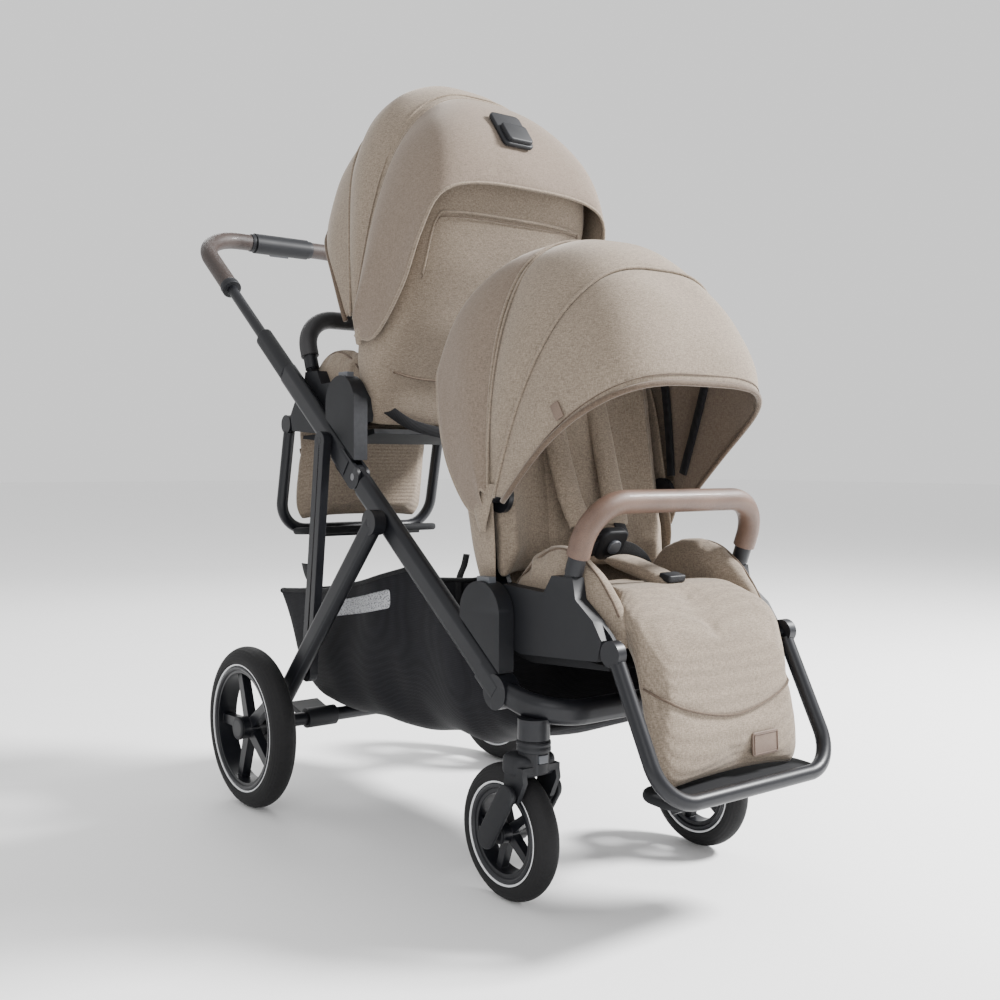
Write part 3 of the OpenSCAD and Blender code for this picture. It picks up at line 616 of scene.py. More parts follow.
def seat_hood(seat):
    front = seat.name == "front"
    a = (33, 65, 91) if front else (25, 59, 87)
    middle, fore = seat.name + "_hood_middle", seat.name + "_hood_front"
    prefix = seat.name + "_seat_hood_"

    # rear panel: from the rear seam down to an arch-shaped edge round the backrest
    nu, nv = 18, 72
    tip, ahead = (0.142, 0.016) if front else (0.118, 0.0)
    half = [(-0.191, 0.002, tip - 0.004), (-0.192, -0.058 + ahead, tip + 0.006),
            (-0.190, -0.112 + ahead, 0.215),
            (-0.187, -0.134 + ahead * 0.7, 0.300), (-0.168, -0.143, 0.362), (-0.110, -0.147, 0.387),
            (0, -0.150, 0.392)]
    edge = symmetric_line(half, 12)
    arc = np.concatenate([[0], np.cumsum(np.linalg.norm(np.diff(edge, axis=0), axis=1))])
    vs = np.linspace(-1, 1, nv)
    along = arc[-1] * (vs * 0.5 + 0.5)
    edge = np.stack([np.interp(along, arc, edge[:, k]) for k in range(3)], 1)
    grid = np.zeros((nu, nv, 3))
    for j, v in enumerate(vs):
        seam = hood_curve(seat, a[2], v)
        ctrl = hood_curve(seat, a[2] + (15 if front else 21), v, grow=0.020 if front else 0.024, square=3.8)
        for i, u in enumerate(np.linspace(0, 1, nu)):
            grid[i, j] = (1 - u) ** 2 * seam + 2 * u * (1 - u) * ctrl + u * u * edge[j]
    grid[1:-1] = wrinkle(grid, 0.003, 12, 3.1)[1:-1]
    rear = sheet_object("hood_rear_panel", grid[::-1], "fabric", inner="lining")
    back_grid = grid
    seat.place(rear, "hood_rear_panel", True)
    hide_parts(prefix + "rear")
    hem = tube("hood_hem", grid[-1], 0.0026, "fabric")
    seat.place(hem, "hood_arch_hem", True)
    line = tube("line", grid[-2] * 0.72 + grid[-3] * 0.28 + at(0, -0.0012, 0), 0.0008, "piping", 5)
    seat.place(line, "hood_arch_stitching", True)

    seam = np.array([hood_curve(seat, a[2], v, grow=0.001) for v in np.linspace(-1, 1, 90)])
    seat.place(tube("rear_seam", seam, 0.0028, "fabric"), "hood_rear_seam", True)
    seam = np.array([hood_curve(seat, a[2] - 2.6, v, grow=0.0035) for v in np.linspace(-1, 1, 90)])
    second = seat.place(tube("rear_seam_2", seam, 0.0018, "fabric"), "hood_rear_seam_2", True, "")
    seat.world(hood_curve(seat, a[2], 0), True)
    seat.world(hood_curve(seat, a[1], 0), True)
    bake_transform(second)

    for name, lo, hi, one, two, bulge, seed in (("dome", a[1], a[2], middle, seat.back,
                                                 0.006 if front else 0.012, 1.3),
                                                ("visor", a[0], a[1], fore, middle, 0.003, 5.7)):
        grid = hood_panel(seat, lo, hi, bulge, seed)
        cloth = sheet_object("hood_" + name, grid, "fabric", inner="lining")
        seat.place(cloth, "hood_" + name, True, "")
        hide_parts(prefix + ("middle" if name == "dome" else "front"))
        seat.world(hood_curve(seat, hi, 0), True)
        seat.world(hood_curve(seat, lo, 0), True)
        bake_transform(cloth)
    seam = np.array([hood_curve(seat, a[1], v, grow=0.0015) for v in np.linspace(-1, 1, 90)])
    seat.place(tube("visor_seam", seam, 0.0026, "fabric"), "hood_visor_seam", True, middle)
    brim = np.array([hood_curve(seat, a[0], v) for v in np.linspace(-1, 1, 90)])
    seat.place(tube("brim", brim, 0.0042, "piping"), "hood_brim", True, fore)
    inner = np.array([hood_curve(seat, a[0] + 2.0, v, grow=0.0008) for v in np.linspace(-1, 1, 90)])
    stitch = seat.place(tube("brim_stitch", inner, 0.0009, "piping", 5), "hood_brim_stitching", True, fore)

    # bow strips inside, under the visor seam and the rear seam
    for label, angle, rides in (("front_bow", a[1] - 1, middle), ("rear_bow", a[2], seat.back)):
        path = np.array([hood_curve(seat, angle, v, grow=-0.009) for v in np.linspace(-0.97, 0.97, 80)])
        away = seat.pivot - path
        across = np.cross(np.gradient(path, axis=0), away)
        seat.place(strap(label, path, across, 0.014, 0.005, "webbing"), "hood_" + label, True, rides)

    # folded fabric that closes the hood's tip over each pivot
    drop = 0.026 if front else 0.048

    for side in (-1, 1):
        def tip_centre(u, v, side=side):
            wide = 0.019 + 0.013 * v
            return seat.pivot + at(side * (0.1935 - 0.004 * (u * u + v * v) / 2), -0.010 + u * wide,
                                   -drop * 0.62 + v * 0.034)

        tip = pad_mesh("tip", tip_centre, lambda u, v: 0.006, "fabric", 14, 14, 2.6, 0.3)
        modify(tip, "SUBSURF", levels=1, render_levels=1)
        apply_all(tip)
        seat.place(tip, "hood_tip_%s" % ("right" if side < 0 else "left"), True)

    # small leather tag low on the visor, above the brim
    p = hood_curve(seat, a[0] + 7, -0.74, grow=0.003)
    q = hood_curve(seat, a[0] + 7, -0.70, grow=0.003)
    r = hood_curve(seat, a[0] + 10, -0.74, grow=0.003)
    tag = rounded_plate("tag", 0.002, (0.024, 0.014, 0.0024), axes_at(p, r - p, q - p), "patch", 0.0006)
    seat.place(tag, "hood_tag", True, fore)

    # magnetic clip on the top of the rear panel
    i, j = 9, nv // 2
    p = back_grid[i, j]
    down, side_way = back_grid[i + 1, j] - back_grid[i - 1, j], back_grid[i, j + 1] - back_grid[i, j - 1]
    out = np.cross(side_way, down)
    out /= np.linalg.norm(out) + 1e-9
    if out[1] < 0:
        out = -out
    for label, size, lift, r in (("clip_plate", (0.060, 0.074, 0.008), 0.005, 0.010),
                                 ("clip_flap", (0.050, 0.040, 0.010), 0.011, 0.008)):
        centre = p + out * lift + (down / np.linalg.norm(down) * 0.014 if label == "clip_flap" else 0)
        piece = rounded_plate(label, r, size, axes_at(centre, side_way, down), "plastic", 0.003)
        seat.place(piece, "hood_" + label, True)


def back_shell(seat):
    rows = ((-24, -40, -16, 150), (-4, -46, -12, 156), (16, -51, -8, 162), (40, -56, -2, 170),
            (70, -68, 6, 175), (100, -80, 8, 177), (150, -96, 2, 177),
            (200, -104, -8, 177), (250, -112, -18, 177), (300, -117, -28, 176), (350, -119, -42, 171),
            (388, -118, -54, 160), (412, -113, -62, 148), (426, -104, -67, 136), (433, -92, -71, 124),
            (434, -80, -76, 112))
    grid = []
    heights = np.array(rows, float)
    fine = np.linspace(0, len(rows) - 1, 44)
    for t in fine:
        up, rear_f, front_f, w = (np.interp(t, range(len(rows)), heights[:, k]) / 1000 for k in range(4))
        row = []
        for v in np.linspace(-1, 1, 48):
            phi = math.pi / 2 * (1 - v)
            c, s = math.cos(phi), math.sin(phi)
            row.append(at(w * math.copysign(abs(c) ** 0.42, c), front_f - (front_f - rear_f) * abs(s) ** 0.42,
                          up))
        grid.append(row)
    grid = np.array(grid)
    grid = wrinkle(grid, 0.0035, 11, 8.8)
    shell = sheet_object("back_shell", grid, "fabric", 0.004)
    seat.place(shell, "back_cover", True, "")
    pocket = [(-0.150, -0.2, 0.236), (-0.146, -0.2, 0.322), (-0.118, -0.2, 0.338), (0, -0.2, 0.341)]
    local = copy_of(shell)
    local.data.transform(seat.to_back.inverted())
    path = onto(local, symmetric_line(pocket, 14), (0, -1, 0), 0.0012)
    hem = [(-0.150, -0.2, 0.07), (-0.1, -0.2, 0.062), (0, -0.2, 0.06)]
    low = onto(local, symmetric_line(hem, 14), (0, -1, 0), 0.0012)
    bpy.data.objects.remove(local)
    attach(shell, seat.back)
    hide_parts(seat.name + "_seat_back_shell")
    if len(path) > 4:
        seat.place(tube("pocket", path, 0.0022, "fabric"), "pocket_piping", True)
        seat.place(tube("pocket2", path + at(0, -0.0005, -0.007), 0.0008, "piping", 5), "pocket_stitching",
                   True)
    if len(low) > 4:
        seat.place(tube("low", low, 0.0018, "piping"), "back_lower_seam", True)
    # strap that hangs in a bow under the backrest
    sag = symmetric_line([(-0.14, -0.046, 0.004), (-0.09, -0.062, -0.020), (0, -0.068, -0.032)], 10)
    seat.place(strap("sling", sag, (0, 0, 1), 0.018, 0.0018, "webbing"), "back_strap", True)


def make_pads():
    """The padded pieces of one seat, in its own frame and without lean; they are shared by both seats."""
    pads = {}
    face = ((40, -24), (110, -30), (220, -48), (330, -64), (426, -76))

    def back_centre(u, v):
        up = 236 + 192 * v
        f = np.interp(up, [a for a, _ in face], [b for _, b in face])
        wing = max(0.0, abs(u) - 0.58) / 0.42
        return at(u * 0.168, (f + 36 * wing ** 1.6) / 1000, up / 1000)

    pads["back_pad"] = pad_mesh("back_pad", back_centre, lambda u, v: 0.027 + 0.012 * max(0, abs(u) - 0.6),
                                "fabric", 40, 44, 6)

    def insert_centre(u, v):
        up = 228 + 176 * v
        f = np.interp(up, [a for a, _ in face], [b for _, b in face]) + 16
        narrow = math.sqrt(max(0.0, 1 - min(1, max(0, -v - 0.72) / 0.28) ** 2)) * 0.75 + 0.25
        return at(u * 0.074 * narrow, f / 1000, up / 1000)

    pads["insert"] = pad_mesh("insert", insert_centre, lambda u, v: 0.018, "insert", 24, 44, 5)

    path = ((-22, 16, 108, 26), (30, 8, 111, 34), (100, 12, 113, 38), (160, 19, 122, 38), (205, 15, 138, 40),
            (236, 0, 146, 42), (252, -34, 148, 38), (262, -80, 148, 34), (272, -130, 148, 32),
            (280, -178, 146, 28), (285, -205, 136, 22))
    p = smooth_path(np.array(path, float), 5)

    def seat_centre(u, v):
        t = (v * 0.5 + 0.5) * (len(p) - 1)
        f, up, w, _ = (np.interp(t, range(len(p)), p[:, k]) for k in range(4))
        return at(u * w / 1000, (f - 5 * abs(u) ** 4) / 1000, up / 1000)

    def seat_thick(u, v):
        return np.interp((v * 0.5 + 0.5) * (len(p) - 1), range(len(p)), p[:, 3]) / 1000

    pads["seat_pad"] = pad_mesh("seat_pad", seat_centre, seat_thick, "fabric", 36, 64, 6)

    top = ((-14, 22), (10, 62), (40, 90), (80, 103), (110, 105), (150, 94), (185, 66), (212, 34), (230, 4))
    low = ((-14, -30), (100, -34), (205, -36), (230, -28))

    def wing_centre(u, v):
        f = 108 + 122 * v
        hi = np.interp(f, [a for a, _ in top], [b for _, b in top])
        lo = np.interp(f, [a for a, _ in low], [b for _, b in low])
        up = lo + (hi - lo) * (u * 0.5 + 0.5)
        return at((129 + 6 * (u * 0.5 + 0.5) + 3 * math.sin(2 * v)) / 1000, f / 1000, up / 1000)

    pads["wing"] = pad_mesh("wing", wing_centre, lambda u, v: 0.030, "fabric", 26, 36, 3.4)

    def crotch_centre(u, v):
        return at(u * (0.027 - 0.003 * v), 0.124 + 0.058 * v, 0.061 - 0.014 * v - 0.005 * u * u)

    pads["crotch_pad"] = pad_mesh("crotch_pad", crotch_centre, lambda u, v: 0.013, "insert", 14, 24, 4)

    for side, x in (("right", -0.044), ("left", 0.044)):
        run = smooth_path([at(x * 1.02, -0.046, 0.372), at(x * 1.05, -0.030, 0.300),
                           at(x * 1.06, -0.010, 0.228),
                           at(x * 0.98, 0.014, 0.160), at(x * 0.80, 0.036, 0.116)], 8)

        def shoulder_centre(u, v, run=run):
            t = (v * 0.5 + 0.5) * (len(run) - 1)
            c = np.array([np.interp(t, range(len(run)), run[:, k]) for k in range(3)])
            return c + np.array((u * 0.026, 0, 0)) + at(0, -0.003 * u * u, 0)

        pads["shoulder_" + side] = pad_mesh("shoulder", shoulder_centre, lambda u, v: 0.013, "insert", 14, 40,
                                            4)
    settings = {"back_pad": (0.0062, 0.008), "insert": (0.005, 0.006), "seat_pad": (0.006, 0.009),
                "wing": (0.005, 0.007),
                "crotch_pad": (0.0035, 0.003), "shoulder_right": (0.004, 0.0035),
                "shoulder_left": (0.004, 0.0035)}
    for name, obj in pads.items():
        voxel, cap = settings[name]
        puff(obj, voxel, cap)
    # seams drawn in after swelling
    for x in (-0.088, 0.088):
        groove(pads["back_pad"], [at(x, -0.03, 0.06), at(x, -0.045, 0.2), at(x * 0.98, -0.062, 0.33),
                                  at(x * 0.8, -0.068, 0.42)])
    fold = symmetric_line([(-0.145, 0.262, -0.070), (-0.09, 0.290, -0.108), (0, 0.298, -0.122)], 8)
    groove(pads["seat_pad"], fold, 0.006, 0.004)
    groove(pads["seat_pad"], [at(-0.113, 0.0, 0.03), at(-0.113, 0.12, 0.034), at(-0.118, 0.19, 0.034)])
    groove(pads["seat_pad"], [at(0.113, 0.0, 0.03), at(0.113, 0.12, 0.034), at(0.118, 0.19, 0.034)])
    for name, obj in pads.items():
        finish_pad(obj, "insert" if name[:4] in ("inse", "shou", "crot") else "fabric")
    pads["seat_pad"].data.materials[0] = M["ribbed"]
    return pads


def dress(seat, pads):
    front = seat.name == "front"
    p = seat.name + "_seat_"
    hinge = seat.hinge
    tilt = 0.0 if front else math.radians(-5)

    def calf_bend(obj):
        """Swings the part of the pad below the knee a little, as the rear footrest hangs straighter."""
        co = np.array([v.co for v in obj.data.vertices])
        w = np.clip((hinge[2] + 0.03 - co[:, 2]) / 0.06, 0, 1) * (co[:, 1] < -0.2)
        c, s = np.cos(-tilt * w), np.sin(-tilt * w)
        y, z = co[:, 1] - hinge[1], co[:, 2] - hinge[2]
        co[:, 1], co[:, 2] = hinge[1] + y * c - z * s, hinge[2] + y * s + z * c
        obj.data.vertices.foreach_set("co", co.astype(np.float32).ravel())
        obj.data.update()
        return obj

    made = {}
    for name, mirror in (("back_pad", 0), ("insert", 0), ("seat_pad", 0), ("wing", 0), ("wing", 1),
                         ("crotch_pad", 0), ("shoulder_right", 0), ("shoulder_left", 0)):
        obj = copy_of(pads[name])
        label = name
        if name == "wing":
            label = "bolster_" + ("right" if mirror else "left")
        if mirror:
            obj.data.transform(Matrix.Scale(-1, 4, (1, 0, 0)))
            obj.data.flip_normals()
        if name == "seat_pad" and not front:
            calf_bend(obj)
        made[label] = obj

    # piping and patches laid on the pads while they're in the seat's own frame
    pad = made["seat_pad"]
    smile = symmetric_line([(-0.147, 0.3, -0.066), (-0.10, 0.3, -0.098), (0, 0.3, -0.118)], 12)
    smile = onto(pad, smile, (0, 1, 0), 0.0012)
    foot, rides = seat.name + "_footrest", {}
    if len(smile) > 4:
        made["calf_piping"] = tube("smile", smile, 0.0019, "piping")
        rides["calf_piping"] = foot
    hit = onto(pad, [at(0.052, 0.36, -0.162), at(0.062, 0.36, -0.162), at(0.052, 0.36, -0.152)], (0, 1, 0),
               0.002)
    if len(hit) == 3:
        made["calf_patch"] = rounded_plate("patch", 0.004, (0.052, 0.032, 0.003),
                                           axes_at(hit[0], hit[1] - hit[0], hit[2] - hit[0]), "patch", 0.0008)
        rides["calf_patch"] = foot
        ring = [(-0.023, -0.013), (0.023, -0.013), (0.023, 0.013), (-0.023, 0.013)]
        m = axes_at(hit[0], hit[1] - hit[0], hit[2] - hit[0])
        loop = []
        for (x0, y0), (x1, y1) in zip(ring, ring[1:] + ring[:1]):
            for t in np.linspace(0, 1, 8, endpoint=False):
                loop.append(np.array(m @ Vector((x0 + (x1 - x0) * t, y0 + (y1 - y0) * t, 0.0019))))
        made["calf_patch_stitching"] = tube("patch_stitch", loop, 0.0006, "leather", 5, True)
        rides["calf_patch_stitching"] = foot
    for x in (-1, 1):
        rim_path = [at(x * 0.151, 0.008, 0.060), at(x * 0.153, 0.038, 0.094), at(x * 0.153, 0.080, 0.108),
                    at(x * 0.153, 0.112, 0.110), at(x * 0.153, 0.150, 0.100), at(x * 0.153, 0.186, 0.072),
                    at(x * 0.152, 0.214, 0.036), at(x * 0.151, 0.232, 0.004)]
        side = "right" if x < 0 else "left"
        target = made["bolster_" + side]
        path = onto(target, smooth_path(rim_path, 8) + np.array((-x * 0.010, 0, 0.06)), (0, 0, -1), 0.0006)
        if len(path) > 12:
            for _ in range(12):
                path[1:-1] = (path[:-2] + 2 * path[1:-1] + path[2:]) / 4
            path = path[1:-1]
            made["bolster_piping_" + side] = tube("wing_pipe", path, 0.0019, "piping")
    made["care_label"] = rounded_plate("label", 0.001, (0.020, 0.030, 0.0012),
                                       axes_at(at(-0.151, 0.222, -0.030), (0, -1, 0), (0, 0.1, 1)), "label",
                                       0.0003)
    tab = rounded_plate("tab", 0.001, (0.016, 0.010, 0.0016),
                        axes_at(at(0.149, 0.03, 0.030), (0, -1, 0), (0, 0, 1)), "orange", 0.0003)
    made["side_tab"] = tab

    # harness
    buckle = at(0, 0.052, 0.094)
    tilt_up = (0, -0.5, 0.87)
    made["buckle"] = rounded_plate("buckle", 0.012, (0.050, 0.050, 0.016),
                                   axes_at(buckle, (1, 0, 0), tilt_up), "plastic", 0.004)
    made["buckle_button"] = rounded_plate("press", 0.009, (0.022, 0.022, 0.006),
                                          axes_at(buckle + np.array((0, -0.0079, -0.0045)) * 1.15, (1, 0, 0),
                                                  tilt_up),
                                          "button", 0.002)
    made["crotch_adjuster"] = rounded_plate("adjuster", 0.004, (0.034, 0.022, 0.010),
                                            axes_at(at(0, 0.178, 0.054), (1, 0, 0), (0, -1, -0.2)), "plastic",
                                            0.002)
    made["crotch_strap"] = strap("crotch", smooth_path([buckle - np.array((0, 0.0, 0.02)),
                                                        at(0, 0.075, 0.074),
                                                        at(0, 0.120, 0.050), at(0, 0.165, 0.041),
                                                        at(0, 0.190, 0.034)], 8),
                                 (1, 0, 0), 0.024, 0.0018, "webbing")
    for x in (-1, 1):
        side = "right" if x < 0 else "left"
        hip = smooth_path([buckle + np.array((x * 0.020, 0.002, -0.006)), at(x * 0.055, 0.040, 0.080),
                           at(x * 0.088, 0.028, 0.066), at(x * 0.108, 0.020, 0.050)], 8)
        made["hip_strap_" + side] = strap("hip", hip, (0, -0.5, 0.87), 0.024, 0.0018, "webbing")
        run = smooth_path([at(x * 0.036, 0.034, 0.122), at(x * 0.030, 0.046, 0.110),
                           buckle + np.array((x * 0.016, 0, 0.014))], 6)
        made["shoulder_strap_" + side] = strap("run", run, (1, 0, 0), 0.022, 0.0018, "webbing")
        up = smooth_path([at(x * 0.045, -0.070, 0.398), at(x * 0.045, -0.050, 0.388),
                          at(x * 0.045, -0.042, 0.366)], 6)
        made["shoulder_strap_top_" + side] = strap("top", up, (1, 0, 0), 0.024, 0.0018, "webbing")

    loop_tilt = math.radians(27 if front else 12)
    down = np.array((0, -math.sin(loop_tilt), -math.cos(loop_tilt)))
    tray = rounded_plate("tray", 0.030, (0.300, 0.078, 0.013),
                         axes_at(hinge + down * 0.200 + np.array((0, 0.036, -0.002)), (1, 0, 0),
                                 (0, 1, 0.05)), "matte", 0.005)
    made["footrest_tray"] = tray
    rides["footrest_tray"] = foot

    on_back = {"back_pad", "insert", "shoulder_strap_top_right", "shoulder_strap_top_left"}
    for name, obj in made.items():
        if name in on_back:
            seat.place(obj, name, True)
        elif name == "seat_pad":
            seat.place(obj, name, False, "")
            seat.world(at(0, 0.225, 0.012))
            seat.world(at(0, 0.262, -0.075))
            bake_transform(obj)
            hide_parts(p + "cushion", p + "calf_cushion")
        elif name.startswith("shoulder"):
            # the straps leave the leaning back above and reach the buckle on the seat below
            co = np.array([v.co for v in obj.data.vertices])
            w = np.clip((co[:, 2] - 0.09) / 0.16, 0, 1)
            w = (w * w * (3 - 2 * w))[:, None]
            a = np.array([seat.to_seat @ Vector(c) for c in co])
            b = np.array([seat.to_back @ Vector(c) for c in co])
            obj.data.vertices.foreach_set("co", (a * (1 - w) + b * w).astype(np.float32).ravel())
            obj.data.update()
            obj.name = seat.name + "_" + name
            seat.world(at(0, 0.04, 0.10))
            seat.world(at(0, -0.02, 0.28), True)
            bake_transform(obj)
        else:
            seat.place(obj, name, False, rides.get(name))
    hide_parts(p + "back_pad")
    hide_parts(p + "harness")
    back_shell(seat)
    seat_hood(seat)


# the knitted seat fabric has fine ribs in rings
M["ribbed"] = heather("heather_ribbed", tuple(c * 1.04 for c in LIGHT), DARK, (0.0, 0.0, 0.0))

PADS = make_pads()
SEATS = [Seat("front"), Seat("rear")]
for one in SEATS:
    dress(one, PADS)
for obj in PADS.values():
    bpy.data.objects.remove(obj)

# ---------------------------------------------------------------- basket

lo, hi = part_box("basket")


def basket_profile(t):
    """Height of the rim and of the floor at a share t of the length, front to back."""
    rim = ((0, .236), (.12, .262), (.27, .350), (.432, .436), (.60, .404), (.80, .374), (1, .363))
    floor = ((0, .232), (.02, .219), (.15, .203), (.20, .190), (.235, .178), (.50, .162), (.84, .156),
             (.905, .162), (.94, .186), (.975, .290), (1, .360))
    z0 = lo.z - 0.174
    return (z0 + float(np.interp(t, [a for a, _ in rim], [b for _, b in rim])),
            z0 + float(np.interp(t, [a for a, _ in floor], [b for _, b in floor])))


nu, nv = 72, 64
grid = np.zeros((nu, nv, 3))
for i, t in enumerate(np.linspace(0, 1, nu)):
    rim_z, floor_z = basket_profile(t)
    y = lo.y + (hi.y - lo.y) * t
    w = 0.168 * (1 - 0.05 * max(0, 0.25 - t) / 0.25) - 0.008 * math.sin(math.pi * t)
    for j, v in enumerate(np.linspace(-1, 1, nv)):
        phi = math.pi / 2 * (1 - v)
        c, s = math.cos(phi), math.sin(phi)
        deep = abs(s) ** 0.8
        x = w * math.copysign(abs(c) ** 0.36, c)
        sag = 0.004 * math.sin(math.pi * min(1, max(0, t))) * max(0, deep - 0.5)
        grid[i, j] = (x * (1 + 0.02 * math.sin(math.pi * deep)), y,
                      rim_z - (rim_z - floor_z) * deep + 0.002 - sag)
grid = wrinkle(grid, 0.009, 9, 4.4)
grid[:, :, 0] = np.clip(grid[:, :, 0], lo.x - 0.002, hi.x + 0.002)
basket = sheet_object("basket_bag", grid, "basket", 0.0028)
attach(basket, "chassis")
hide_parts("basket")
rim_line = np.concatenate([grid[:, 0], grid[-1, 1:-1], grid[::-1, -1], grid[0, -2:0:-1]])
binding = tube("basket_binding", rim_line, 0.0045, "webbing", 8, True)
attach(binding, "chassis")
for side, j0, step in (("right", 0, 1), ("left", nv - 1, -1)):
    band = np.array([[grid[i, j0 + step * k] + np.array((-step * 0.0022, 0, 0)) for k in (1, 2, 3)]
                     for i in range(int(nu * 0.50), int(nu * 0.90))])
    strip = sheet_object("basket_mesh_" + side, band if side == "right" else band[:, ::-1], "mesh", 0.0012)
    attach(strip, "chassis")
for x in (-1, 1):
    for t, high in ((0.30, 0.075), (0.86, 0.075)):
        i = int(t * (nu - 1))
        p = grid[i, 0 if x < 0 else -1]
        path = smooth_path([p + np.array((0, 0, -0.05)), p, p + np.array((x * 0.012, 0, 0.028)),
                            p + np.array((x * 0.018, 0, 0.050))], 6)
        loop = strap("basket_strap", path, (0, 1, 0), 0.020, 0.002, "webbing")
        loop.name = "basket_strap_%s_%s" % ("right" if x < 0 else "left", "front" if t < 0.5 else "rear")
        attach(loop, "chassis")

# ---------------------------------------------------------------- wheels, handle and fittings


def circle(centre, r, n=96):
    """Points of a circle in the plane across the width."""
    turn = np.linspace(0, 2 * math.pi, n, endpoint=False)
    return np.array([centre + np.array((0, r * math.cos(a), r * math.sin(a))) for a in turn])


for side, sx in (("right", -1), ("left", 1)):
    for kind, r_share, body in (("rear", 0.785, "rear_wheel_"), ("front", 0.745, "front_wheel_")):
        lo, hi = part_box("%s_tyre_%s" % (kind, side))
        centre = np.array((lo + hi) / 2)
        radius, half = (hi.z - lo.z) / 2, (hi.x - lo.x) / 2
        for face in (-1, 1):
            c = centre + np.array((face * half * 0.86, 0, 0))
            ring = tube("ring", circle(c, radius * r_share), 0.0021, "ring", 8, True)
            ring.name = "%s_wheel_ring_%s_%s" % (kind, side, "outer" if face == sx else "inner")
            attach(ring, body + side)
            lip = tube("lip", circle(c - np.array((face * 0.002, 0, 0)), radius * r_share - 0.006), 0.0042,
                       "rim", 8, True)
            lip.name = "%s_wheel_lip_%s_%s" % (kind, side, "outer" if face == sx else "inner")
            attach(lip, body + side)
        outer = centre + np.array((sx * (half + 0.002) * (1 if kind == "rear" else 1.1), 0, 0))
        cap_r = 0.020 if kind == "rear" else 0.013
        turn = axes_at(outer, (0, 1, 0), (0, 0, 1))
        cap = rounded_plate("cap", cap_r * 0.98, (2 * cap_r, 2 * cap_r, 0.006), turn, "plastic", 0.002)
        cap.name = "%s_wheel_cap_%s" % (kind, side)
        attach(cap, body + side)

# moulded covers on the casters: the crown of each fork and the sides of each trailing arm
for side, sx in (("right", -1), ("left", 1)):
    swivel = Vector(JOINT["caster_swivel_" + side]["pos_m"])
    crown = rounded_plate("crown", 0.018, (0.070, 0.050, 0.030),
                          Matrix.Translation((swivel.x, swivel.y + 0.0105, 0.1985)), "plastic", 0.009)
    crown.name = "fork_cover_" + side
    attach(crown, "fork_" + side)
    sleeve = tube("sleeve", [(swivel.x, swivel.y, z) for z in (0.2175, 0.219, 0.224, 0.2255, 0.227, 0.2315)],
                  0.0235, "plastic", 36)
    for k, grow in enumerate((0.97, 1.0, 1.0, 0.95, 1.0, 0.99)):
        for v in list(sleeve.data.vertices)[k * 36:(k + 1) * 36]:
            v.co.x = swivel.x + (v.co.x - swivel.x) * grow
            v.co.y = swivel.y + (v.co.y - swivel.y) * grow
    sleeve.name = "fork_sleeve_" + side
    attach(sleeve, "fork_" + side)
    a = Vector(JOINT["suspension_" + side]["pos_m"])
    b = Vector(JOINT["front_wheel_spin_" + side]["pos_m"])
    for s2 in (-1, 1):
        centre = (a + b) / 2 + Vector((s2 * 0.0415, 0, 0))
        cover = rounded_plate("arm", 0.0155, ((b - a).length + 0.032, 0.032, 0.008),
                              axes_at(centre, b - a, (0, 1, 1)), "plastic", 0.0028)
        cover.name = "arm_cover_%s_%s" % (side, "outer" if s2 == sx else "inner")
        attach(cover, "swing_arm_" + side)

# collars where the leather grips end
slide = Vector(JOINT["handle_telescope"]["axis"])
bar_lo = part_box("handle_grips")[0]
hub_lo, hub_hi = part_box("handle_hub")
hub = np.array((hub_lo + hub_hi) / 2)
way = np.array(slide)


def add_collar(name, points, r):
    piece = tube("collar", points, r, "plastic", 28)
    piece.name = name
    modify(piece, "BEVEL", width=0.0015, segments=2, limit_method="ANGLE", angle_limit=0.8)
    apply_all(piece)
    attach(piece, "handle")


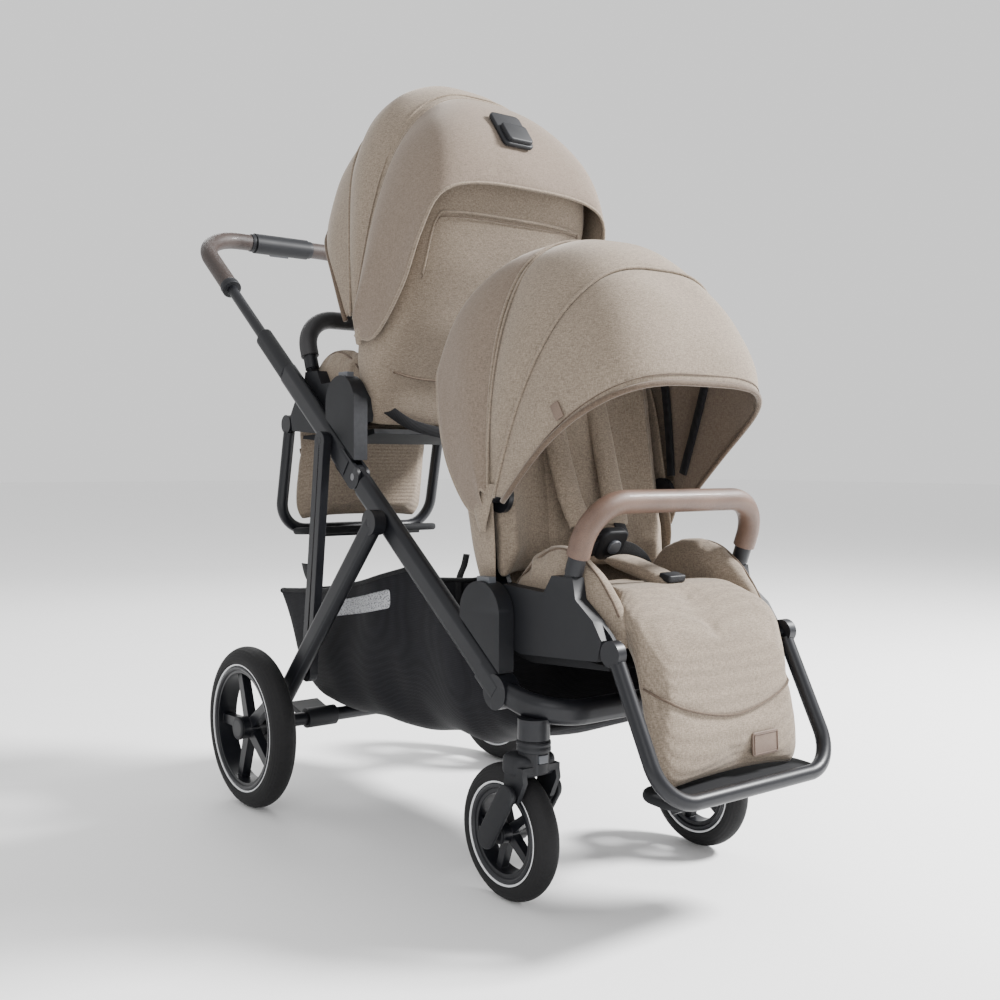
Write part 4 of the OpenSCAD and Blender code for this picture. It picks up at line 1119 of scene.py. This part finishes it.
for x in (-1, 1):
    side = "right" if x < 0 else "left"
    add_collar("grip_collar_" + side, [hub + np.array((x * d, 0, 0)) for d in (0.060, 0.064, 0.072)], 0.0185)
    low = np.array((x * 0.192, bar_lo.y + 0.0104, bar_lo.z + 0.0135))
    add_collar("grip_end_" + side, [low - way * d for d in (-0.004, 0.004, 0.012)], 0.0188)

# ---------------------------------------------------------------- studio

FLOOR_HALF = 30
FLOOR_Z = -0.0004
WORLD_STRENGTH = 1.05
CAMERA_PLACE = (-1.19340, -1.63311, 0.60709)
CAMERA_TURN = (88.08197, -0.21571, -38.25059)

n = Nodes("studio_floor")
M["studio"] = n.wire(Base_Color=n.mix(n.noise(3, 2), (0.93, 0.93, 0.93), (0.95, 0.95, 0.95)), Roughness=0.75,
                     Specular_IOR_Level=0.1)
corners = [(x * FLOOR_HALF, y * FLOOR_HALF, FLOOR_Z) for x, y in ((-1, -1), (1, -1), (1, 1), (-1, 1))]
floor = new_object("floor", corners, [(0, 1, 2, 3)], "studio")

world = bpy.data.worlds.new("studio")
SCENE.world = world
world.use_nodes = True
world.node_tree.nodes["Background"].inputs["Color"].default_value = (1, 1, 1, 1)
world.node_tree.nodes["Background"].inputs["Strength"].default_value = WORLD_STRENGTH


def lamp(name, where, target, size, power):
    light = bpy.data.lights.new(name, "AREA")
    light.shape, light.size, light.energy = "DISK", size, power
    obj = bpy.data.objects.new(name, light)
    SCENE.collection.objects.link(obj)
    obj.location = where
    obj.rotation_euler = (Vector(target) - Vector(where)).to_track_quat("-Z", "Y").to_euler()


lamp("key", (2.6, -1.9, 3.0), (0, 0, 0.5), 1.0, 560)
lamp("fill", (-2.6, -2.4, 1.8), (0, 0, 0.6), 2.2, 30)
lamp("back", (0.8, 3.0, 2.6), (0, 0, 0.7), 1.6, 40)

camera_data = bpy.data.cameras.new("camera")
camera = bpy.data.objects.new("camera", camera_data)
SCENE.collection.objects.link(camera)
camera.location = CAMERA_PLACE
camera.rotation_euler = tuple(math.radians(a) for a in CAMERA_TURN)
camera_data.lens, camera_data.sensor_width = 41.967, 36.0
SCENE.camera = camera
